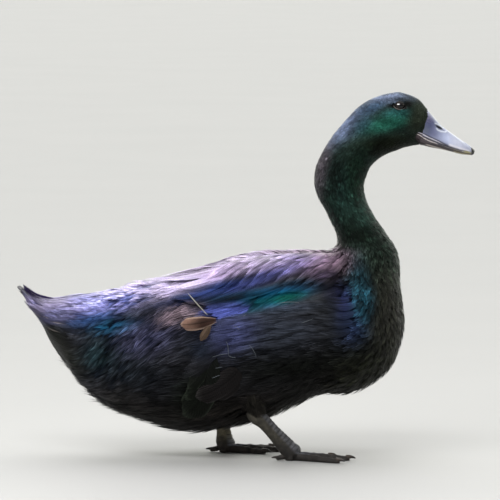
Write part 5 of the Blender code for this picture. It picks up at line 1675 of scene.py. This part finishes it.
def ridge(u, v, pts, width, ends=0.12):
    """1 along a line of places, falling off to the sides and at its ends."""
    d, w = from_line(u, v, pts)
    return np.exp(-((d / width) ** 2)) * smooth(w, -0.01, ends) * (1 - smooth(w, 1 - ends, 1.01))


FOLD_A = ((419, 132.4), (425, 135.2), (430, 137.9), (437, 140.8), (445, 144.8), (452, 148.0), (460, 150.6))
FOLD_B = ((417, 134.6), (423, 137.6), (430, 140.4), (437, 143.0), (445, 146.8), (452, 149.8))
EDGE_PALE = ((447, 144.6), (455, 147.4), (463, 149.8), (470, 152.2))
NOSE_RIM = ((435.4, 128.0), (437.2, 130.4), (440.5, 132.0), (445, 132.6), (446.6, 130.6))


def bill_grid(upper, rows, arc, low_cols):
    s = np.concatenate([[-3.0, -1.5], np.linspace(0, 1, rows) ** 1.0 * bill_along[-1]])
    val = hermite(bill_along, bill_table, bill_slopes, np.maximum(s, 0))
    tx, tz, mx, mz, fx, fz, half, square = val.T
    back = np.minimum(s, 0)
    top = np.stack([tx, 0 * tx, tz], -1)
    mid = np.stack([mx, 0 * mx, mz], -1)
    foot = np.stack([fx, 0 * fx, fz], -1)
    go = np.array([0.80, 0, -0.60])
    away = top - mid if upper else foot - mid
    lift = unit(away) * 0.02
    if not upper:
        half = half - 0.9
    reach = away - lift
    turn = PI * np.linspace(0, 1, arc + 1)
    c, n = np.cos(turn), np.sin(turn)
    p = (2.0 / square)[:, None]
    y = half[:, None] * np.sign(c) * np.abs(c) ** p
    rise = np.abs(n) ** p
    out = (mid + lift)[:, None] + reach[:, None] * rise[..., None]
    out[..., 1] += y
    w = np.linspace(-1, 1, low_cols + 2)[1:-1]
    base = (mid + lift)[:, None] + reach[:, None] * (0.10 * (1 - w**2))[None, :, None]
    base[..., 1] += half[:, None] * w
    grid = np.concatenate([out, base], 1) + (back[:, None, None] * go)
    g = np.concatenate([rise, np.zeros((len(s), low_cols))], 1)
    shrink = np.where(s < 0, 0.93, 1.0)[:, None]
    centre = grid.mean(1, keepdims=True)
    grid = centre + (grid - centre) * shrink[..., None]
    ps, pt = np.gradient(grid, axis=0), (np.roll(grid, -1, 1) - np.roll(grid, 1, 1))
    nn = unit(np.cross(ps, pt))
    flip = ((grid - centre) * nn).sum(-1) < 0
    nn = np.where(flip[..., None], -nn, nn)
    return s, grid, nn, g


def bill_piece(upper):
    rows, arc, low_cols = (150, 128, 14) if upper else (170, 72, 14)
    s, grid, nn, g = bill_grid(upper, rows, arc, low_cols)
    u, v = side_view(grid)
    outer = np.zeros(grid.shape[1], bool)
    outer[: arc + 1] = True
    fine = smooth(s, 0.5, 4.0)[:, None] * outer
    off_ridge = smooth(np.abs(grid[..., 1]), 1.6, 4.2)
    if upper:
        pit = blob(u, v, 440.3, 128.9, 6.4, 3.0, -27, 1.6)
        slit = blob(u, v, 438.8, 127.7, 3.9, 1.15, -30, 1.8)
        floor_ = blob(u, v, 441.5, 130.3, 3.4, 0.7, -20, 1.4)
        r = (
            (-0.50 * pit - 2.3 * slit - 0.25 * floor_) * off_ridge
            + 0.50 * ridge(u, v, NOSE_RIM, 0.75)
            - 0.55 * ridge(u, v, FOLD_A, 0.62) + 0.32 * ridge(u, v, [(a, b + 1.25) for a, b in FOLD_A], 0.7)
            - 0.60 * ridge(u, v, FOLD_B, 0.62)
            + 0.40 * ridge(u, v, EDGE_PALE, 1.2)
            - 0.35 * blob(u, v, 456, 150.6, 8, 0.9, -18)
            - 0.45 * blob(u, v, 446, 138.5, 12, 4.5, -32) * off_ridge        # shallow side below the culmen
            + 0.35 * blob(u, v, 430, 120, 5, 4)
        )
        # nail: a shield over the tip, a little raised, with a groove round it
        x_nail = grid[..., 0] - 231.0
        across = np.abs(grid[..., 1]) / (4.6 * np.clip(1 - ((x_nail - 5.5) / 12.0) ** 2, 0.05, 1) ** 0.5)
        shield = smooth(x_nail, -1.0, 1.5) * (1 - smooth(across, 0.82, 1.05))
        edge = smooth(x_nail, -2.0, 0.0) * np.exp(-(((across - 1.12) / 0.16) ** 2))
        r = r + 0.40 * shield * (g > 0.4) - 0.22 * edge * (g > 0.4)
        # fine growth lines along the horn
        r = r + 0.012 * np.sin(v * 5.1 + u * 1.7) + 0.010 * np.sin(v * 8.3 - u * 0.9)
    else:
        keel = np.exp(-((grid[..., 1] / 3.6) ** 2)) * (g > 0.5)
        r = (
            -0.9 * keel * (1 - smooth(s, 30, 40))[:, None]
            - 0.35 * ridge(u, v, [(424, 142.8), (431, 145.0), (440, 147.6), (448, 150.4), (456, 153.0)], 0.5)
            + 0.10 * np.sin(2 * PI * s / 1.5)[:, None] * (g < 0.55) * smooth(s, 6, 10)[:, None] * (1 - smooth(s, 44, 50))[:, None]
        )
    grid = grid + nn * (r * fine)[..., None]
    name = "bill_top" if upper else "bill_under"
    mesh = ring_mesh(name, grid)
    for q in mesh.polygons:
        q.use_smooth = True
    mesh.set_sharp_from_angle(angle=math.radians(62))
    p = coords(mesh)
    u, v = side_view(p)
    c = np.broadcast_to(srgb(138, 143, 170), (len(p), 3)).copy()

    def lay(colour, w):
        nonlocal c
        w = np.clip(w, 0, 1)[:, None]
        c = c * (1 - w) + colour * w

    if upper:
        lay(srgb(68, 73, 108), 0.92 * blob(u, v, 428.5, 126, 7.5, 14, -12, 1.4))
        lay(srgb(96, 104, 112), 0.6 * blob(u, v, 426, 131, 4, 4))
        lay(srgb(92, 96, 130), 0.7 * blob(u, v, 436, 134, 9, 4.5, -24))
        # pale blue-white on the middle of the bill and along the culmen: painted highlight of the light from above
        lay(srgb(181, 190, 220), 0.85 * blob(u, v, 447, 139, 9, 5, -30))
        lay(srgb(192, 195, 212), 0.85 * blob(u, v, 457, 143, 10, 5, -32, 1.4))
        top_line, _ = from_line(u, v, [(428, 112.5), (435, 119), (441, 125.5), (450, 133.5), (460, 140.5), (469, 146.5)])
        lay(srgb(164, 169, 188), 0.8 * np.exp(-((top_line / 2.2) ** 2)))
        mottle = np.clip(clumps(p, 2.2, 31, 1.0), -1, 1.4)
        lay(srgb(128, 108, 122), 0.45 * np.clip(mottle, 0, 1) * blob(u, v, 429, 117, 5, 7, -30, 1.4))
        lay(srgb(48, 46, 66), 0.40 * np.clip(-mottle, 0, 1) * blob(u, v, 429, 119, 6, 9, -30, 1.4))
        lay(srgb(10, 11, 14), 1.0 * blob(u, v, 438.8, 127.7, 4.1, 1.35, -30, 2.4))
        lay(srgb(44, 50, 62), 0.6 * blob(u, v, 441.6, 130.2, 3.4, 0.7, -20))
        lay(srgb(206, 212, 222), 0.8 * ridge(u, v, NOSE_RIM, 0.7))
        lay(srgb(214, 220, 228), 0.8 * ridge(u, v, [(433.6, 123.4), (436.5, 124.4), (440.5, 126.6), (444, 128.8)], 0.6))
        lay(srgb(70, 66, 80), 0.85 * smooth(from_below(u, v, FOLD_A), -0.5, 0.6))
        lay(srgb(30, 30, 40), 0.8 * ridge(u, v, FOLD_A, 0.75))
        lay(srgb(176, 174, 186), 0.8 * ridge(u, v, [(a, b + 1.35) for a, b in FOLD_A[:5]], 0.55))
        lay(srgb(22, 20, 24), 0.85 * ridge(u, v, FOLD_B, 0.7))
        lay(srgb(206, 198, 198), 0.85 * ridge(u, v, [(a, b + 1.5) for a, b in FOLD_B[:4]], 0.6))
        lay(srgb(214, 212, 222), 0.95 * ridge(u, v, EDGE_PALE, 1.25))
        lay(srgb(46, 42, 52), 0.8 * ridge(u, v, [(440, 143.4), (447, 146.6), (455, 149.4), (463, 151.2), (470, 152.6)], 0.55))
        lay(srgb(128, 120, 96), 0.85 * blob(u, v, 458, 151.8, 9, 1.0, -18, 1.4))
        lay(srgb(158, 152, 108), 0.95 * blob(u, v, 467, 153.2, 5.5, 1.8, -12, 1.6))
        # faces that look straight up get a mid slate again, so the painted highlight of the sides does not spread over
        # the top
        normal = np.zeros(len(p) * 3)
        mesh.vertices.foreach_get("normal", normal)
        lay(srgb(122, 126, 152), 0.6 * smooth(np.abs(normal[2::3]), 0.70, 0.95) * (1 - smooth(v - top_line, 3, 8)))
        lay(srgb(6, 6, 7), smooth(u, 470.3, 471.3))
        lay(srgb(132, 136, 154), 0.3 * ((np.abs(p[:, 1]) < 4) & (u > 462) & (u < 471)))
    else:
        c[:] = srgb(72, 66, 70)
        lay(srgb(196, 184, 176), 0.85 * ridge(u, v, [(424, 144.4), (432, 146.6), (441, 149.0), (450, 151.8)], 0.55))
        lay(srgb(30, 27, 30), 0.85 * ridge(u, v, [(424, 142.6), (431, 144.9), (440, 147.4), (448, 150.2), (456, 152.9)], 0.6))
        lay(srgb(150, 140, 104), 0.8 * ridge(u, v, [(452, 151.6), (460, 153.6), (470, 154.8)], 0.7))
        lay(srgb(20, 18, 16), 0.9 * smooth(from_below(u, v, [(448, 152.6), (456, 154.2), (464, 155.2), (474, 155.6)]), -0.3, 0.4) * smooth(u, 448, 452))
        lay(srgb(118, 108, 104), 0.5 * (np.abs(p[:, 1]) < 5) * (1 - smooth(u, 446, 452)))
    put_colour(mesh, "tint", c)
    o = add_object(name, mesh, MAT_BILL)
    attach(o, "root")
    print(name, len(mesh.polygons))
    return o, grid


def from_below(u, v, pts):
    """How far a place lies below a line that runs across the side view; beyond its ends, very far above."""
    pts = np.array(pts, float)
    line = np.interp(u, pts[:, 0], pts[:, 1])
    return np.where((u < pts[0, 0] - 1) | (u > pts[-1, 0] + 1), -9.0, v - line)


def on_side(u, v, lift, tree):
    """Point of the right side seen at a place of the side view, lifted off the surface."""
    ct, st = math.cos(VIEW_TILT), math.sin(VIEW_TILT)
    z0 = 218.9 + ((250 - v) * 1.06 + 70 * st) / ct
    hit, normal, _, _ = tree.ray_cast(Vector(((u - 250) * 1.06 + 4.8, -70.0, z0)), Vector((0, ct, -st)))
    if hit is None:
        return None
    normal = normal if normal.y < 0 else -normal
    return np.array(hit + normal * lift)


def gape_folds(grids):
    """Soft ridges of bare skin at the corner of the mouth, on both sides."""
    verts, faces, base = [], [], 0
    p = body.p[-130:].reshape(-1, 3)
    quads = grid_faces(130, NT)
    verts.append(p)
    faces.append(quads)
    base = len(p)
    for g in grids:
        verts.append(g.reshape(-1, 3))
        faces.append(grid_faces(*g.shape[:2]) + base)
        base += g.shape[0] * g.shape[1]
    tree = BVHTree.FromPolygons([Vector(q) for q in np.concatenate(verts)], np.concatenate(faces).tolist())
    lines = (
        # places, thickness, colour
        ([(416.8, 133.0), (418.5, 133.2), (421.5, 134.3), (425, 136.2), (429, 138.3), (434, 140.4), (440, 143.0)], 0.60, srgb(196, 194, 206)),
        ([(416.2, 134.8), (418.0, 135.2), (420.5, 136.6), (424, 138.8), (428, 140.9), (433, 142.9), (438, 144.8)], 0.72, srgb(214, 206, 206)),
        ([(415.6, 136.4), (417.2, 137.8), (419.6, 139.6), (422.5, 141.3), (426.5, 142.9), (431, 144.4)], 0.70, srgb(80, 70, 74)),
        ([(415.4, 138.4), (416.8, 140.2), (419.0, 141.9), (422.0, 143.4), (425.5, 144.6)], 0.72, srgb(54, 46, 48)),
        ([(415.8, 140.6), (417.4, 142.2), (419.8, 143.6), (422.5, 144.6)], 0.62, srgb(38, 33, 33)),
    )
    out, tints = [], []
    for pts, thick, colour in lines:
        fine = along_line(pts, 26)
        path = [on_side(a, b, -0.30 * thick, tree) for a, b in fine]
        path = np.array([q for q in path if q is not None])
        if len(path) < 6:
            continue
        w = np.linspace(0, 1, len(path))
        r = thick * (0.18 + 0.82 * np.sin(PI * w) ** 0.55) * (1 + 0.08 * np.sin(w * 23 + thick * 50))
        ring = tube(path, np.stack([r, r * 0.8], -1), 14, (0, 1, 0.3))
        for sgn in (1, -1):
            out.append(ring_mesh("fold", ring * np.array([1, sgn, 1])))
            tints.append(colour)
    return out, tints


bill_top, top_grid = bill_piece(True)
bill_under, under_grid = bill_piece(False)
folds, fold_tints = gape_folds([top_grid, under_grid])
fold_v, fold_f, fold_c, count = [], [], [], 0
for m, colour in zip(folds, fold_tints):
    p = coords(m)
    m.calc_loop_triangles()
    f = np.array([t.vertices for t in m.loop_triangles])
    fold_v.append(p)
    fold_f.append(f + count)
    fold_c.append(np.broadcast_to(colour, p.shape))
    count += len(p)
    bpy.data.meshes.remove(m)
gape = fill_mesh("gape_skin", np.concatenate(fold_v), np.concatenate(fold_f))
put_colour(gape, "tint", np.concatenate(fold_c))
gape = add_object("gape_skin", gape, MAT_SKIN)
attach(gape, "root")
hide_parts("bill_upper")
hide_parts("bill_lower")


# ---------------------------------------------------------------------------
# Eyes: a ball with a clear bulge over a dark brown iris

MAT_EYE, eye_nt, eye_b = nodes_of("eye_wet")
e_tint = node(eye_nt, "ShaderNodeAttribute", _attribute_name="tint")
e_coord = node(eye_nt, "ShaderNodeTexCoord")
e_noise = node(eye_nt, "ShaderNodeTexNoise", Scale=1500.0, Detail=3.0)
link(eye_nt, e_coord.outputs["Object"], e_noise.inputs["Vector"])
e_gain = math_node(eye_nt, "MULTIPLY_ADD", e_noise.outputs[0], 0.8)
e_gain.node.inputs[2].default_value = 0.6
link(eye_nt, mul_colour(eye_nt, e_tint.outputs["Color"], e_gain), eye_b.inputs["Base Color"])
eye_b.inputs["Roughness"].default_value = 0.03
eye_b.inputs["IOR"].default_value = 1.38

for tag, side in (("L", 1), ("R", -1)):
    centre = np.array([EYE_PLACE[0], side * EYE_PLACE[1], EYE_PLACE[2]])
    axis = unit(np.array([0.16, side * 1.0, 0.02]))
    a1 = unit(np.cross(axis, [0, 0, 1.0]))
    a2 = np.cross(a1, axis)
    th = np.linspace(0.02, PI - 0.02, 72)
    ph = np.arange(96) * 2 * PI / 96
    bulge = 0.42 * np.exp(-((th / 0.62) ** 4))
    ball = (EYE_RADIUS + bulge - 0.02)[:, None, None] * (
        axis * np.cos(th)[:, None, None]
        + np.sin(th)[:, None, None] * (a1 * np.cos(ph)[:, None] + a2 * np.sin(ph)[:, None])[None]
    )
    mesh = ring_mesh(f"eyeball_{tag}", centre + ball)
    for q in mesh.polygons:
        q.use_smooth = True
    d = unit(coords(mesh) - centre)
    off = np.arccos(np.clip(d @ axis, -1, 1))
    spoke = np.arctan2(d @ a2, d @ a1)
    iris = srgb(17, 11, 8) * (0.75 + 0.25 * np.sin(spoke * 46) * np.sin(spoke * 17 + 1))[:, None]
    c = np.where((off < 0.42)[:, None], srgb(4, 4, 5), iris)
    rim = smooth(off, 0.60, 0.72)[:, None]
    c = c * (1 - rim) + srgb(9, 8, 8) * rim
    put_colour(mesh, "tint", c)
    o = add_object(f"eyeball_{tag}", mesh, MAT_EYE)
    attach(o, "root")
    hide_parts(f"eye_{tag}")


# ---------------------------------------------------------------------------
# Claws

for tag, leg in LEGS.items():
    f = Foot(leg)
    for name, angle, length, root, tip, height in TOES:
        d = f.direction(angle)
        xy = f.centre + d * (length - 3.4)
        rings = claw((xy[0], xy[1], 3.4), d, 44.0)
        mesh = ring_mesh(f"nail_{name}_{tag}", rings)
        for q in mesh.polygons:
            q.use_smooth = True
        p = coords(mesh)
        far = smooth((p[:, :2] - xy) @ d, 1.0, 9.0)[:, None]
        put_colour(mesh, "tint", srgb(62, 52, 44) * (1 - far) + srgb(24, 20, 18) * far)
        o = add_object(f"nail_{name}_{tag}", mesh, MAT_CLAW)
        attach(o, "root")
        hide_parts(f"claw_{name}_{tag}")
    d = f.direction(168.0)
    xy = f.centre + d * 15.0
    mesh = ring_mesh(f"nail_hind_{tag}", claw((xy[0], xy[1], 3.0), d, 34.0, 7.0, 1.5))
    for q in mesh.polygons:
        q.use_smooth = True
    put_colour(mesh, "tint", np.broadcast_to(srgb(44, 37, 32), (len(mesh.vertices), 3)))
    o = add_object(f"nail_hind_{tag}", mesh, MAT_CLAW)
    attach(o, "root")
    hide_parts(f"claw_hind_{tag}")


# ---------------------------------------------------------------------------
# Floor, light and camera

def stage():
    bpy.ops.mesh.primitive_plane_add(size=140, location=(0, 0, -0.0003))
    floor = bpy.context.object
    floor.name = "floor"
    m, nt, b = nodes_of("pale_floor")
    coord = node(nt, "ShaderNodeTexCoord")
    noise = node(nt, "ShaderNodeTexNoise", Scale=3.0, Detail=3.0)
    link(nt, coord.outputs["Object"], noise.inputs["Vector"])
    ramp = node(nt, "ShaderNodeMix", _data_type="RGBA")
    ramp.inputs["A"].default_value = (0.36, 0.36, 0.357, 1)
    ramp.inputs["B"].default_value = (0.385, 0.385, 0.38, 1)
    link(nt, noise.outputs[0], ramp.inputs["Factor"])
    link(nt, ramp.outputs["Result"], b.inputs["Base Color"])
    b.inputs["Roughness"].default_value = 0.75
    floor.data.materials.append(m)


def sun(name, azimuth, height, spread, strength, colour=(1, 1, 1)):
    """Broad, even light from an azimuth (0 from the bird's right, 90 from ahead of it) and a height above the horizon, in degrees."""
    l = bpy.data.lights.new(name, "SUN")
    l.energy, l.angle, l.color = strength, math.radians(spread), colour
    o = bpy.data.objects.new(name, l)
    bpy.context.scene.collection.objects.link(o)
    a, h = math.radians(azimuth), math.radians(height)
    place = Vector((math.sin(a) * math.cos(h), -math.cos(a) * math.cos(h), math.sin(h)))
    o.location = place * 3
    o.rotation_mode = "QUATERNION"
    o.rotation_quaternion = place.to_track_quat("Z", "Y")
    return o


stage()
def softbox(name, azimuth, height, away, wide, tall, power, colour=(1, 1, 1), about=(0.06, 0, 0.25)):
    """A rectangular soft light that faces the bird."""
    l = bpy.data.lights.new(name, "AREA")
    l.shape, l.size, l.size_y, l.energy, l.color = "RECTANGLE", wide, tall, power, colour
    o = bpy.data.objects.new(name, l)
    bpy.context.scene.collection.objects.link(o)
    a, h = math.radians(azimuth), math.radians(height)
    place = Vector((math.sin(a) * math.cos(h), -math.cos(a) * math.cos(h), math.sin(h)))
    o.location = Vector(about) + place * away
    o.rotation_mode = "QUATERNION"
    o.rotation_quaternion = place.to_track_quat("Z", "Y")
    return o


sun("overhead", 200, 70, 44, 1.3, (1.0, 0.985, 1.0))
sun("rim_soft", 112, 24, 30, 0.7, (1.0, 1.0, 0.88))
softbox("window_soft", -30, 42, 2.2, 1.9, 0.8, 11.0, (1.0, 0.99, 0.98))
softbox("window_core", -27, 43, 2.1, 1.7, 0.62, 25.0, (1.0, 0.99, 0.98))
# catch lights, which only the eyes receive
for tag, azimuth in (("R", -33), ("L", 213)):
    small = softbox(f"catch_{tag}", azimuth, 35, 1.5, 1.7, 0.62, 130.0, about=(0.164, 0, 0.372))
    only = bpy.data.collections.new(f"catch_{tag}")
    only.objects.link(bpy.data.objects[f"eyeball_{tag}"])
    small.light_linking.receiver_collection = only

world = bpy.data.worlds.new("studio")
bpy.context.scene.world = world
world.use_nodes = True
wt = world.node_tree
bg = wt.nodes["Background"]
wc = node(wt, "ShaderNodeTexCoord")
wz = node(wt, "ShaderNodeSeparateXYZ")
link(wt, wc.outputs["Generated"], wz.inputs[0])
wr = wt.nodes.new("ShaderNodeValToRGB")
ramp = wr.color_ramp
ramp.elements[0].position, ramp.elements[0].color = 0.0, (0.13, 0.14, 0.13, 1)
ramp.elements[1].position, ramp.elements[1].color = 0.92, (1.0, 1.0, 1.0, 1)
mid_ = ramp.elements.new(0.40)
mid_.color = (0.30, 0.31, 0.32, 1)
link(wt, wz.outputs["Z"], wr.inputs[0])
link(wt, wr.outputs[0], bg.inputs["Color"])
bg.inputs["Strength"].default_value = 0.98
# a pale backdrop beyond the bird, which edges its outline with light
behind = node(wt, "ShaderNodeMapRange")
behind.inputs["From Min"].default_value, behind.inputs["From Max"].default_value = 0.45, 0.97
behind.inputs["To Min"].default_value, behind.inputs["To Max"].default_value = 0.0, 3.0
link(wt, wz.outputs["Y"], behind.inputs["Value"])
back_light = node(wt, "ShaderNodeBackground", Color=(1.0, 1.0, 0.92, 1))
link(wt, behind.outputs[0], back_light.inputs["Strength"])
both = node(wt, "ShaderNodeAddShader")
link(wt, bg.outputs[0], both.inputs[0])
link(wt, back_light.outputs[0], both.inputs[1])
link(wt, both.outputs[0], wt.nodes["World Output"].inputs["Surface"])

scene = bpy.context.scene
scene.view_settings.view_transform = "Standard"
scene.view_settings.look = "None"
cam = bpy.data.cameras.new("camera")
cam.lens, cam.sensor_width = 339.5, 36.0
cam.dof.use_dof = False
cam_obj = bpy.data.objects.new("camera", cam)
scene.collection.objects.link(cam_obj)
target = Vector((0.0048, 0, 0.2189))
cam_obj.location = target + 5 * Vector((0, -math.cos(VIEW_TILT), math.sin(VIEW_TILT)))
cam_obj.rotation_mode = "QUATERNION"
cam_obj.rotation_quaternion = (target - cam_obj.location).to_track_quat("-Z", "Y")
cam.clip_start, cam.clip_end = 0.1, 200
scene.camera = cam_obj
